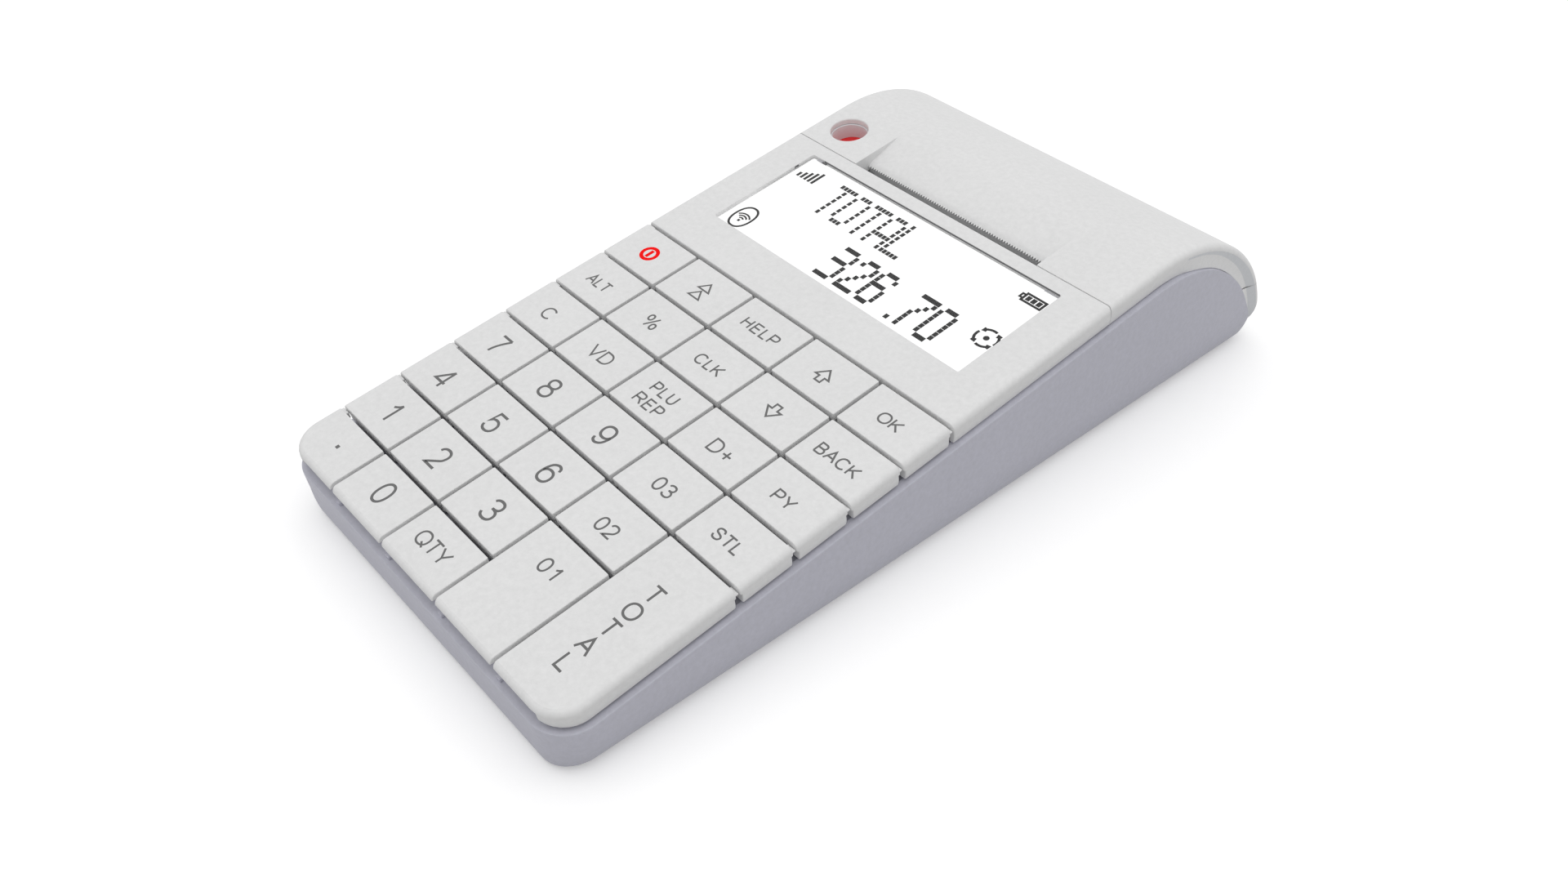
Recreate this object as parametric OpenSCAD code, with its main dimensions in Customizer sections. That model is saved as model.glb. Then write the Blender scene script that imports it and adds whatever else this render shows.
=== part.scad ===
// Portable ticket register: a sloping keypad and display over a grey tray, and a
// hinged lid over a thermal printer and its paper roll.
//
// Two frames are used. Tray frame: X right, Y back from the front wall, Z up from
// the table. Slope frame: X right, V back along the keypad, N out of its surface,
// so a depth below the white covers is a negative N.

/* [Keypad] */
// Column pitch of the keys
key_pitch_x = 21.2; // [20.6:0.1:22.4]
// Row pitch of the keys
key_pitch_v = 14.64; // [14:0.02:15.6]
// Gap between two keys
key_gap = 0.84; // [0.6:0.02:1.1]
// Travel of a key
key_travel = 0.8; // [0.5:0.05:1.1]
// Thickness of a key's top
key_top = 1.6; // [1.2:0.1:2.2]
// Thickness of a key's sides
key_side = 1.2; // [0.9:0.1:1.6]
// Depth of the white skirts below the top surface
skirt_h = 4.2; // [3.8:0.1:4.8]
// Rounding along the outer top edges of keys, bezel, lid and rear cover
edge_r = 1.5; // [0.8:0.1:2]
// Width of a key's stem
stem_w = 7; // [5:0.5:8]
// Length of a key's stem
stem_l = 4.5; // [3.5:0.5:5.5]
// Reach of a stem's hooks past the stem
hook = 0.7; // [0.5:0.1:1]
// Height of a stem's hooks
hook_h = 1.4; // [1:0.1:1.8]
// Clearance round a stem in the deck
stem_gap = 0.25; // [0.15:0.05:0.4]

/* [Tray] */
// Slope of the keypad and display
tilt = 8; // [7.5:0.25:9]
// Height of the top surface above the table at the front wall
front_h = 18.7; // [18.2:0.1:21]
// Wall thickness of the tray
wall = 2; // [1.6:0.1:2.4]
// Thickness of the tray's floor
floor_t = 2; // [1.8:0.1:2.4]
// Set-in of the white covers from the tray's sides
skirt_inset = 0.9; // [0.5:0.1:1.4]
// Radius of the front corners, seen from above
corner_r = 9; // [7.5:0.5:11]
// Radius along the bottom edges
base_r = 6; // [4:0.5:7]
// Clearance between a pressed key's skirt and the tray's rim
rim_clear = 0.2; // [0.1:0.05:0.4]
// Height of the tray's low rear lip
lip_h = 3.1; // [2.8:0.1:3.6]
// Height of the rubber feet
foot_h = 0.8; // [0.6:0.1:1.2]
// Radius of the rubber feet
foot_r = 5; // [4:0.5:6]

/* [Deck and board] */
// Room between a pressed key's skirt and the deck
deck_room = 1; // [0.6:0.1:1.4]
// Thickness of the key deck
deck_t = 1.5; // [1.2:0.1:1.8]
// Height of the contact pads on the dome mat
pad_h = 0.8; // [0.5:0.1:1]
// Radius of the contact pads
pad_r = 3; // [2.5:0.1:3.4]
// Thickness of the dome mat
mat_t = 0.8; // [0.6:0.1:1]
// Thickness of the main board
board_t = 1.6; // [1.2:0.2:1.6]
// Radius of a screw's shank
screw_r = 1.4; // [1.2:0.1:1.5]
// Radius of a screw's head
screw_head_r = 2.7; // [2.4:0.1:2.9]
// Length of a screw's shank
screw_l = 7; // [6:0.5:8]

/* [Display] */
// Bezel behind the window
bezel_back = 3.9; // [3:0.1:8]
// Thickness of the bezel's top
bezel_t = 1.8; // [1.4:0.1:2]
// Width of the display window
window_w = 84.2; // [70:0.2:86]
// Length of the display window along the slope
window_l = 33.6; // [28:0.2:34]
// Bezel in front of the window
window_front = 12.5; // [12:0.1:14]
// Thickness of the window
window_t = 1.2; // [1:0.1:1.4]
// Depth of the window below the bezel's top
window_recess = 0.6; // [0.4:0.1:0.8]
// Thickness of the display glass
glass_t = 2.8; // [2:0.1:3]
// Reach of the display glass past the window on each side
glass_margin = 1.6; // [1:0.1:1.8]

/* [Lid] */
// Length of the lid's flat front part
lid_flat = 16.3; // [16:0.1:18]
// Radius of the hump
hump_r = 45.2; // [44.6:0.1:47]
// Direction of the split line behind the hump, above the horizontal
split_angle = 27.5; // [25:0.5:30]
// Thickness of the lid
lid_wall = 1.5; // [1.2:0.1:1.7]
// Gap round the lid
lid_gap = 0.4; // [0.3:0.05:0.6]
// Width of the ramp down to the tear edge
ramp_w = 61; // [60:0.2:62]
// Length of the ramp
ramp_l = 11.2; // [10:0.2:12]
// Drop of the ramp at the tear edge
ramp_drop = 2.7; // [2.2:0.1:3]
// Distance from the lid's front edge to the roots of the tear teeth
tear_back = 3.5; // [3.2:0.1:4]
// Pitch of the tear teeth
tooth_pitch = 0.8; // [0.7:0.05:1.2]
// Length of the tear teeth
tooth_l = 1; // [0.6:0.1:1.2]
// Radius of the seal hole
seal_hole_r = 5; // [4:0.1:5.4]
// Distance of the seal hole from the centre plane
seal_x = 42.8; // [42:0.1:44]
// Distance of the seal hole behind the lid's front edge
seal_back = 9.1; // [8.5:0.1:10]
// Radius of the hinge barrel
barrel_r = 1.2; // [1.1:0.05:1.3]
// Radius of the hinge pin
pin_r = 0.6; // [0.5:0.05:0.7]
// Clearance round the hinge barrel
barrel_gap = 0.35; // [0.3:0.05:0.45]
// Running clearance of pins and shafts, on the radius
run_gap = 0.05; // [0.02:0.01:0.08]
// Swell of the finger recess's shoulder past the cover's sides
shoulder = 0.8; // [0.4:0.1:0.8]

/* [Printer] */
// Radius of the platen
platen_r = 5; // [4.6:0.1:5.2]
// Length of the platen
platen_l = 58; // [57.5:0.1:58.4]
// Radius of the platen's shaft
shaft_r = 1.5; // [1.2:0.1:1.6]
// Distance of the platen's axis behind the lid's front edge
platen_back = 7.9; // [7.7:0.1:8.3]
// Depth of the platen's axis
platen_depth = 9.8; // [9.6:0.1:10.4]
// Thickness of the printer chassis
chassis_t = 1.5; // [1.2:0.1:1.6]
// Thickness of the print head
head_t = 2; // [1.6:0.1:2.2]
// Gap between the print head and the platen
nip = 0.08; // [0.05:0.01:0.12]
// Module of the gears
gear_m = 0.5; // [0.48:0.01:0.52]
// Width of the gears
gear_w = 3; // [2:0.5:3]
// Teeth of the platen gear
platen_teeth = 24; // [20:4:24]
// Teeth of the idler gear
idler_teeth = 30; // [28:2:32]
// Teeth of the motor's pinion
pinion_teeth = 12; // [12:1:14]
// Radius of the feed motor
motor_r = 7; // [6:0.5:7]
// Length of the feed motor
motor_l = 19; // [14:1:22]

/* [Paper roll] */
// Radius of a full paper roll
roll_r = 16; // [14:0.1:16.4]
// Width of the paper
roll_w = 57; // [56:0.1:57.5]
// Radius of the roll's core bore
core_r = 6.2; // [5:0.1:7]
// Wall of the inner frame and its paper well
frame_t = 1.5; // [1.2:0.1:1.6]
// Room between the roll and the well
well_gap = 1; // [0.6:0.1:1.2]
// Distance of the roll's axis behind the hump's axis
roll_back = 9.8; // [9:0.1:10]
// Height of the inner frame's flange above the table
flange_z = 26; // [25.5:0.1:26.6]
// Depth of the inner frame's front platforms
platform_depth = 2.4; // [2:0.1:2.8]
// Depth of the seal
seal_depth = 5.5; // [4.5:0.1:6]

/* [Power and data] */
// Width of the battery pack
battery_w = 70; // [60:1:72]
// Length of the battery pack
battery_l = 37; // [34:1:38]
// Height of the battery pack
battery_h = 18.5; // [16:0.5:19]
// Clearance round the battery pack
battery_gap = 0.5; // [0.3:0.1:0.8]
// Thickness of the battery door
door_t = 1.2; // [1:0.1:1.3]
// Distance of the power jack left of the centre plane
jack_x = 18; // [14:1:22]
// Radius of the power jack's mouth
jack_r = 3.1; // [2.8:0.1:3.4]
// Distance of the data socket right of the centre plane
usb_x = 14; // [10:1:20]
// Height of both connectors above the table
port_z = 10.6; // [10:0.1:11]

/* [Hidden] */
$fn = 64;
COLS = 5;
ROWS = 7;

// ---- outline ----
cover_hw = COLS * key_pitch_x / 2 - key_gap / 2;      // half width of the white covers
body_w = 2 * (cover_hw + skirt_inset);
keypad_l = ROWS * key_pitch_v;
bezel_v = keypad_l + key_gap / 2;
bezel_l = window_front + window_l + bezel_back;
lid_v = bezel_v + bezel_l + lid_gap;
tangent_v = lid_v + lid_flat;                         // where the slope meets the hump's arc
hump_y = tangent_v * cos(tilt) + hump_r * sin(tilt);
hump_z = front_h + tangent_v * sin(tilt) - hump_r * cos(tilt);
rim_depth = skirt_h + key_travel + rim_clear;
lid_skirt = rim_depth - lid_gap;
floor_z = foot_h + floor_t;
lip_z = foot_h + lip_h;                               // top of the tray's low rear lip
step = 0.5;                                           // set-in of the rear lip
function hump_back(r, z) = hump_y + sqrt(r * r - pow(z - hump_z, 2));
overall_l = hump_back(hump_r, lip_z);
function slope_y(v, n) = v * cos(tilt) - n * sin(tilt);
function slope_z(v, n) = front_h + v * sin(tilt) + n * cos(tilt);

// ---- stack under the keys, as depths below the top surface ----
deck_top = skirt_h + key_travel + deck_room;
deck_bottom = deck_top + deck_t;
hook_top = deck_bottom + 0.05;
pad_top = hook_top + hook_h + key_travel + 0.1;
mat_top = pad_top + pad_h;
board_top = mat_top + mat_t;
board_bottom = board_top + board_t;
board_v0 = wall + 1.2;
board_v1 = keypad_l - key_pitch_v / 2 + pad_r + 1;    // just behind the last row of pads
deck_v1 = lid_v - 2.3;
deck_wall = 1.3;
inside_gap = 0.3;                                     // deck and board inside the tray's walls
ledge_w = 3;
screw_x = (COLS - 1) / 2 * key_pitch_x;               // front screws lie between two rows
screw_y = slope_y(key_pitch_v, -board_top);
boss_r = screw_r + 1.6;
boss_z = floor_z + 2.4;
screw_end = foot_h + 2 + screw_l;

// ---- display ----
window_v = bezel_v + window_front;
glass_top = window_recess + window_t;
glass_bottom = glass_top + glass_t;
post_x = cover_hw - key_side - 3.4;                   // bezel posts

// ---- ramp and tear edge ----
tear_v = lid_v + tear_back;
ramp_v1 = tear_v + ramp_l;
ramp_angle = atan(ramp_drop / ramp_l);
tear_base = 0.8;
tear_t = 1;                                           // thickness of the toothed strip
strip_v = tear_v + tear_base * cos(ramp_angle);       // back edge of its top
function ramp_n(v) = -ramp_drop * (ramp_v1 - v) / ramp_l;

// ---- hinge ----
hinge_r = hump_r - barrel_r - 0.05;                   // from the hump's axis to the pin's
hinge_y = hump_y + hinge_r * cos(split_angle);
hinge_z = hump_z + hinge_r * sin(split_angle);
knuckle_hw = 22;                                      // half width of the rear cover's knuckle
split_gap = 180 / PI * lid_gap / hump_r;              // the split's gap as an angle

// ---- printer ----
platen_v = lid_v + platen_back;
platen_y = slope_y(platen_v, -platen_depth);
platen_z = slope_z(platen_v, -platen_depth);
lift_angle = atan2(hinge_y - platen_y, platen_z - hinge_z);  // the way the platen leaves
bracket_x = platen_l / 2 + 0.4;
chassis_x = bracket_x + lid_wall + 0.6;               // inner face of the chassis's sides
gear_x = chassis_x + chassis_t + 1;
platen_gap_n = 0.4;
idler_dist = gear_m * (platen_teeth + idler_teeth) / 2;
pinion_dist = gear_m * (idler_teeth + pinion_teeth) / 2;
idler_angle = lift_angle - 180;                       // from the platen to the idler
idler_y = platen_y + idler_dist * cos(idler_angle);
idler_z = platen_z + idler_dist * sin(idler_angle);
pinion_angle = -135;                                  // from the idler to the pinion
pinion_y = idler_y + pinion_dist * cos(pinion_angle);
pinion_z = idler_z + pinion_dist * sin(pinion_angle);
head_v = platen_v - platen_r - nip - head_t;          // front face of the print head
head_top = 6;
head_pivot = 16.4;                                    // depth of the head's pivot
stud_r = 1;
printer_hw = chassis_x + chassis_t + 2;               // half width left free in the inner frame

// ---- paper well ----
well_r = roll_r + well_gap;
well_y = hump_y + roll_back;
well_z = floor_z + 0.3 + frame_t + well_r;
roll_z = well_z - well_gap + 0.3;
well_hw = roll_w / 2 + well_gap;
frame_hw = cover_hw - key_side - 0.9;                 // outer faces of the frame's sides
platform_v0 = lid_v + key_side + 1;
platform_v1 = tangent_v + 0.6;
flange_y1 = well_y + well_r + frame_t + 1.4;
cup_r = seal_hole_r - 0.3;

// ---- battery bay ----
bay_wall = 1.2;
bay_y0 = slope_y(board_v1, -board_bottom) + bay_wall + 0.5;
bay_hw = battery_w / 2 + battery_gap;
bay_l = battery_l + 2 * battery_gap;
bay_top = floor_z + battery_h + battery_gap;
door_margin = 2;

// ---- connectors ----
jack_w = 9;
jack_l = 11;
usb_w = 8;
usb_h = 4;
usb_l = 9;
port_y = hump_back(hump_r, port_z + jack_w / 2) - 0.6;  // faces of both connectors
rear_screw_x = 36;
rear_screw_y = hinge_y - 3;

KEYS = [
    // name, column, front row, columns, rows
    ["key_power", 0, 1, 1], ["key_feed", 1, 1, 1], ["key_help", 2, 1, 1], ["key_up", 3, 1, 1],
    ["key_ok", 4, 1, 1], ["key_alt", 0, 2, 1], ["key_percent", 1, 2, 1], ["key_clerk", 2, 2, 1],
    ["key_down", 3, 2, 1], ["key_back", 4, 2, 1], ["key_clear", 0, 3, 1], ["key_void", 1, 3, 1],
    ["key_plu", 2, 3, 1], ["key_dept_plus", 3, 3, 1], ["key_payment", 4, 3, 1],
    ["key_seven", 0, 4, 1], ["key_eight", 1, 4, 1], ["key_nine", 2, 4, 1],
    ["key_dept_three", 3, 4, 1], ["key_subtotal", 4, 4, 1], ["key_four", 0, 5, 1],
    ["key_five", 1, 5, 1], ["key_six", 2, 5, 1], ["key_dept_two", 3, 5, 1],
    ["key_total", 4, 7, 3], ["key_one", 0, 6, 1], ["key_two", 1, 6, 1], ["key_three", 2, 6, 1],
    ["key_dept_one", 3, 7, 2], ["key_point", 0, 7, 1], ["key_zero", 1, 7, 1],
    ["key_quantity", 2, 7, 1]
];

// ---- frames and sweeps ----

// The finished part stands with the middle of its base at the origin.
module stand() {
    translate([0, -overall_l / 2, 0]) children();
}

module on_slope(v = 0) {
    translate([0, 0, front_h]) rotate([tilt, 0, 0]) translate([0, v, 0]) children();
}

// Runs a side outline (Y across, Z up) from x0 to x1.
module along_x(x0, x1) {
    translate([x0, 0, 0]) rotate([90, 0, 90]) linear_extrude(x1 - x0) children();
}

// Copies a shape to both sides of the centre plane.
module both_sides() {
    for (side = [0, 1]) mirror([side, 0, 0]) children();
}

// Runs a cover section (radius across, X up) along the slope, and down round the hump.
// The angles are above the horizontal; the slope meets the hump at 90 + tilt.
module slope_run(v0, v1) {
    on_slope(v0) translate([0, 0, -hump_r]) rotate([0, -90, -90])
        linear_extrude(v1 - v0) children();
}

module hump_run(from, to) {
    on_slope(tangent_v) translate([0, 0, -hump_r]) rotate([90, 0, 90]) rotate([0, 0, from - tilt])
        rotate_extrude(angle = to - from) children();
}

// ---- outlines ----

// All that lies at least d below the outer surface.
module under_skin(d, hw) {
    low = -hump_r - 25;
    on_slope() along_x(-hw, hw) {
        translate([-30, low]) square([tangent_v + 30, -d - low]);
        translate([tangent_v, -hump_r]) circle(hump_r - d);
    }
}

// Section of a cover with rounded shoulders.
module cover_section(depth, hw, edge) {
    translate([hump_r - depth, -hw]) square([depth - edge, 2 * hw]);
    translate([hump_r - depth, edge - hw]) square([depth, 2 * (hw - edge)]);
    for (side = [-1, 1]) translate([hump_r - edge, side * (hw - edge)]) circle(edge);
}

module shell_section(depth, top) {
    inner = cover_hw - key_side;
    difference() {
        cover_section(depth, cover_hw, edge_r);
        translate([hump_r - depth - 1, -inner]) square([depth + 1 - top, 2 * inner]);
    }
}

// Rectangle from y0 to y1 with both front corners rounded.
module front_rounded(hw, y0, y1, r) {
    translate([-hw, y0 + r]) square([2 * hw, y1 - y0 - r]);
    translate([r - hw, y0]) square([2 * (hw - r), y1 - y0]);
    for (side = [-1, 1]) translate([side * (hw - r), y0 + r]) circle(r);
}

// Box from lo to hi with rounded lower edges, seen along one axis.
module bottom_rounded(lo, hi, z0, z1, r) {
    translate([lo, z0 + r]) square([hi - lo, z1 - z0 - r]);
    translate([lo + r, z0]) square([hi - lo - 2 * r, z1 - z0]);
    for (c = [lo + r, hi - r]) translate([c, z0 + r]) circle(r);
}

// The tray's block, set in by d on every side; its sides run up to z1.
module tray_block(d, z1) {
    hw = body_w / 2 - d;
    y1 = overall_l - step - d;
    r = base_r - d;
    intersection() {
        linear_extrude(z1) front_rounded(hw, d, y1, corner_r - d);
        translate([0, y1 + 5, 0]) rotate([90, 0, 0]) linear_extrude(y1 + 10)
            bottom_rounded(-hw, hw, foot_h + d, z1, r);
        along_x(-hw, hw) bottom_rounded(d, y1, foot_h + d, z1, r);
    }
}

// The room inside the tray's walls, with a clearance.
module inside(gap) {
    linear_extrude(80) front_rounded(body_w / 2 - wall - gap, wall + gap, overall_l, corner_r - wall);
}

// A slab of the slope frame: half width, V range and depth range.
module slab(hw, v0, v1, top, bottom) {
    on_slope() translate([-hw, v0, -bottom]) cube([2 * hw, v1 - v0, bottom - top]);
}

// ---- keys ----

// Rounds the outer edges of the keypad: sides, front and both front corners.
module keypad_skin() {
    r = corner_r - skirt_inset;
    v0 = key_gap / 2;
    intersection() {
        slope_run(-1, keypad_l + 1) cover_section(skirt_h + 1, cover_hw, edge_r);
        on_slope() along_x(-body_w, body_w) union() {
            translate([v0 + edge_r, -2 * skirt_h]) square([keypad_l, 2 * skirt_h]);
            translate([v0, -2 * skirt_h]) square([keypad_l, 2 * skirt_h - edge_r]);
            translate([v0 + edge_r, -edge_r]) circle(edge_r);
        }
        difference() {
            on_slope() translate([0, 0, -2 * skirt_h]) linear_extrude(3 * skirt_h)
                front_rounded(cover_hw, v0, keypad_l, r);
            both_sides() on_slope() corner_round(r, v0);
        }
    }
}

// What the rounded top edge takes off a front corner.
module corner_round(r, v0) {
    translate([cover_hw - r, v0 + r, -edge_r]) intersection() {
        rotate_extrude() difference() {
            translate([r - edge_r, 0]) square([edge_r + 1, edge_r + 1]);
            translate([r - edge_r, 0]) circle(edge_r);
        }
        translate([0, -2 * r, 0]) cube([2 * r, 2 * r, 2 * r]);
    }
}

module key_cap(col, row, rows) {
    x0 = (col - COLS / 2) * key_pitch_x + key_gap / 2;
    v0 = (ROWS - row) * key_pitch_v + key_gap / 2;
    w = key_pitch_x - key_gap;
    l = rows * key_pitch_v - key_gap;
    on_edge = col == 0 || col == COLS - 1 || row == ROWS;
    difference() {
        intersection() {
            on_slope() translate([x0, v0, -skirt_h]) cube([w, l, skirt_h]);
            if (on_edge) keypad_skin();
        }
        on_slope() translate([x0 + key_side, v0 + key_side, -skirt_h - 1])
            intersection() {
                cube([w - 2 * key_side, l - 2 * key_side, skirt_h + 1 - key_top]);
                if (row == ROWS) key_hollow_plan(col, w, l);
            }
    }
    for (i = [0 : rows - 1]) key_stem(x0 + w / 2, v0 - key_gap / 2 + (i + 0.5) * key_pitch_v);
}

// Keeps a front corner key's wall at its full thickness round the corner.
module key_hollow_plan(col, w, l) {
    r = corner_r - skirt_inset - key_side;
    cut = col == 0 ? 0 : (col == COLS - 1 ? w - 2 * key_side : undef);
    if (is_undef(cut)) cube([w, l, skirt_h + 1]);
    else translate([cut, 0, 0]) mirror([col == 0 ? 0 : 1, 0, 0]) linear_extrude(skirt_h + 1) {
        translate([0, r]) square([w, l]);
        translate([r, 0]) square([w, l]);
        translate([r, r]) circle(r);
    }
}

module key_stem(x, v) {
    on_slope() {
        translate([x - stem_w / 2, v - stem_l / 2, -hook_top - hook_h])
            cube([stem_w, stem_l, hook_top + hook_h - key_top + 0.5]);
        translate([x - stem_w / 2 - hook, v - stem_l / 2, -hook_top - hook_h])
            cube([stem_w + 2 * hook, stem_l, hook_h]);
    }
}

module key(name) {
    for (k = KEYS) if (k[0] == name) color("whitesmoke") stand() key_cap(k[1], k[2], k[3]);
}

// Places something at the middle of every cell of the keypad, or of every key.
module at_cells() {
    for (c = [0 : COLS - 1], r = [0 : ROWS - 1])
        translate([(c + 0.5 - COLS / 2) * key_pitch_x, (r + 0.5) * key_pitch_v, 0]) children();
}

// ---- tray and what stands in it ----

module lower_housing() color("lightslategray") stand() {
    difference() {
        intersection() {
            tray_block(0, 60);
            union() {
                under_skin(rim_depth, body_w);
                linear_extrude(lip_z) square([2 * body_w, 3 * overall_l], center = true);
            }
        }
        difference() {
            tray_block(wall, 70);
            linear_extrude(floor_z) square([2 * body_w, 3 * overall_l], center = true);
        }
        battery_hatch();
        screw_places() translate([0, 0, foot_h - 1]) {
            cylinder(r = screw_r + 0.15, h = 20);
            cylinder(r = screw_head_r + 0.3, h = 3.2);
        }
    }
    difference() {
        screw_places() translate([0, 0, floor_z - 1]) cylinder(r = screw_head_r + 1.6, h = boss_z + 1 - floor_z);
        screw_places() translate([0, 0, foot_h - 1]) {
            cylinder(r = screw_r + 0.15, h = 20);
            cylinder(r = screw_head_r + 0.3, h = 3.2);
        }
    }
    intersection() {
        both_sides() on_slope() translate([body_w / 2 - wall - ledge_w, board_v0, -board_bottom - 2.5])
            cube([ledge_w + wall / 2, lid_v - board_v0, 2.5]);
        tray_block(wall / 2, 60);
    }
    battery_bay();
    connector_posts();
}

// Opening for the door, with a step that the door lies on.
module battery_hatch() {
    translate([-bay_hw, bay_y0, foot_h - 1]) cube([2 * bay_hw, bay_l, floor_t + 2]);
    translate([-bay_hw - door_margin, bay_y0 - door_margin, foot_h - 1])
        cube([2 * (bay_hw + door_margin), bay_l + 2 * door_margin, door_t + 1.1]);
}

module battery_bay() {
    difference() {
        translate([-bay_hw - bay_wall, bay_y0 - bay_wall, floor_z - 0.5])
            cube([2 * (bay_hw + bay_wall), bay_l + 2 * bay_wall, bay_top + bay_wall + 0.5 - floor_z]);
        translate([-bay_hw, bay_y0, 0]) cube([2 * bay_hw, bay_l, bay_top]);
    }
}

module connector_posts() {
    translate([-jack_x - jack_w / 2, port_y - jack_l, floor_z - 0.5])
        cube([jack_w, jack_l - 3, port_z - jack_w / 2 + 0.5 - floor_z]);
    translate([usb_x - usb_w / 2, port_y - usb_l, floor_z - 0.5])
        cube([usb_w, usb_l - 3, port_z - usb_h / 2 + 0.5 - floor_z]);
}

module screw_places() {
    both_sides() {
        translate([screw_x, screw_y, 0]) children();
        translate([rear_screw_x, rear_screw_y, 0]) children();
    }
}

module case_screws() color("silver") stand() screw_places() {
    translate([0, 0, foot_h + 0.5]) cylinder(r = screw_head_r, h = 1.7);
    translate([0, 0, foot_h + 2]) cylinder(r = screw_r, h = screw_l);
}

module rubber_feet() color("dimgray") stand() both_sides() {
    for (y = [base_r + 2 * foot_r, overall_l - base_r - 2 * foot_r])
        translate([body_w / 2 - base_r - 1.6 * foot_r, y, 0]) cylinder(r = foot_r, h = foot_h);
}

module main_board() color("seagreen") stand() difference() {
    intersection() {
        slab(body_w, board_v0, board_v1, board_top, board_bottom);
        inside(inside_gap + 0.3);
    }
    deck_bosses(0.3);
}

module dome_mat() color("gainsboro") stand() difference() {
    intersection() {
        union() {
            slab(body_w, board_v0 + deck_wall + 0.3, board_v1 - 0.5, mat_top, board_top);
            on_slope() at_cells() translate([0, 0, -mat_top - 0.1]) cylinder(r = pad_r, h = pad_h + 0.1);
        }
        inside(inside_gap + deck_wall + 0.6);
    }
    deck_bosses(0.3);
}

// Round bosses that take the two front screws, grown by a clearance.
module deck_bosses(gap) {
    both_sides() intersection() {
        translate([screw_x, screw_y, boss_z - gap]) cylinder(r = boss_r + gap, h = 30);
        under_skin(deck_top + 0.5, body_w);
    }
}

module key_deck() color("lightslategray") stand() difference() {
    union() {
        intersection() {
            union() {
                slab(body_w, 0, deck_v1, deck_top, deck_bottom);
                deck_skirt();
            }
            inside(inside_gap);
        }
        deck_bosses(0);
        glass_rests();
        column_ribs();
    }
    on_slope() at_cells() translate([0, 0, -deck_bottom - 1]) linear_extrude(deck_t + 2)
        square([stem_w + 2 * stem_gap, stem_l + 2 * stem_gap], center = true);
    both_sides() translate([screw_x, screw_y, 0]) cylinder(r = screw_r + 0.1, h = screw_end + 0.4);
}

// Wall under the deck's edge: it stands on the board, and behind it on the tray's ledges.
module deck_skirt() {
    difference() {
        slab(body_w, 0, deck_v1, deck_bottom - 0.5, board_bottom);
        difference() {
            inside(inside_gap + deck_wall);
            slab(body_w, deck_v1 - deck_wall, deck_v1 + 20, 0, 40);
        }
        slab(body_w, -5, board_v1 + 0.4, board_top, 40);
        slab(chassis_x + chassis_t + gear_w + 3, board_v1 - 10, lid_v, deck_bottom + 1, 40);
    }
}

module glass_rests() {
    both_sides() on_slope() translate([window_w / 4, window_v, -deck_top - 0.5])
        cube([6, window_l, deck_top - glass_bottom + 0.5]);
}

// Short ribs in front of the deck, one under each gap between two columns.
module column_ribs() {
    for (c = [1 : COLS - 1]) on_slope()
        translate([(c - COLS / 2) * key_pitch_x - 0.5, wall + inside_gap, -deck_top - 0.5])
            cube([1, 1.6, deck_room + 0.3]);
}

// ---- display ----

module display_bezel() color("whitesmoke") stand() {
    bezel_v1 = bezel_v + bezel_l;
    difference() {
        slope_run(bezel_v, bezel_v1) cover_section(skirt_h, cover_hw, edge_r);
        slab(cover_hw - key_side, bezel_v + key_side, bezel_v1 - key_side, bezel_t, skirt_h + 1);
        slab(window_w / 2, window_v, window_v + window_l, -1, skirt_h);
    }
    both_sides() for (v = [bezel_v + 4, bezel_v1 - 4]) on_slope()
        translate([post_x, v, -deck_top]) cylinder(r = 2.2, h = deck_top - bezel_t + 0.5);
}

module display_window() color("aliceblue") stand()
    slab(window_w / 2 - 0.1, window_v + 0.1, window_v + window_l - 0.1, window_recess, glass_top);

module display_glass() color("lightsteelblue") stand()
    slab(window_w / 2 + glass_margin, window_v - glass_margin, window_v + window_l + glass_margin,
         glass_top, glass_bottom);

// ---- inner frame, roll and seal ----

module inner_frame() color("gainsboro") stand() difference() {
    intersection() {
        union() {
            frame_sides();
            platforms();
            translate([-frame_hw, slope_y(platform_v1, 0), flange_z - frame_t])
                cube([2 * frame_hw, flange_y1 - slope_y(platform_v1, 0), frame_t]);
            translate([0, well_y, well_z]) rotate([0, 90, 0])
                cylinder(r = well_r + frame_t, h = 2 * (well_hw + frame_t), center = true);
            on_slope() translate([-seal_x, lid_v + seal_back, -seal_depth - 3])
                cylinder(r = cup_r + 2, h = seal_depth + 3 - platform_depth);
        }
        under_skin(platform_depth, frame_hw);
        tray_block(wall, 80);
    }
    translate([0, well_y, well_z]) rotate([0, 90, 0]) cylinder(r = well_r, h = 2 * well_hw, center = true);
    translate([-well_hw, well_y - well_r, flange_z - frame_t - 1]) cube([2 * well_hw, 2 * well_r, 30]);
    translate([-well_hw - 5, well_y - well_r - 9, flange_z]) cube([2 * well_hw + 10, 2 * well_r + 20, 30]);
    translate([-well_hw, well_y - well_r - 5, flange_z - 2.4]) cube([2 * well_hw, well_r, 30]);
    translate([-printer_hw, 0, floor_z - 1]) cube([2 * printer_hw, well_y - well_r - frame_t, 80]);
    translate([0, 0, floor_z - 1])
        cube([gear_x + gear_w + 1.5, slope_y(platform_v1, 0) + frame_t + 1, 80]);
    on_slope() translate([-seal_x, lid_v + seal_back, -seal_depth - frame_t])
        cylinder(r = cup_r, h = seal_depth + frame_t + 1);
}

module frame_sides() {
    both_sides() translate([frame_hw - frame_t, slope_y(platform_v0, 0), floor_z])
        cube([frame_t, flange_y1 - slope_y(platform_v0, 0), 60]);
    both_sides() translate([printer_hw, slope_y(platform_v1, 0), flange_z - 0.5])
        cube([frame_hw - printer_hw, frame_t, 20]);
}

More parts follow.
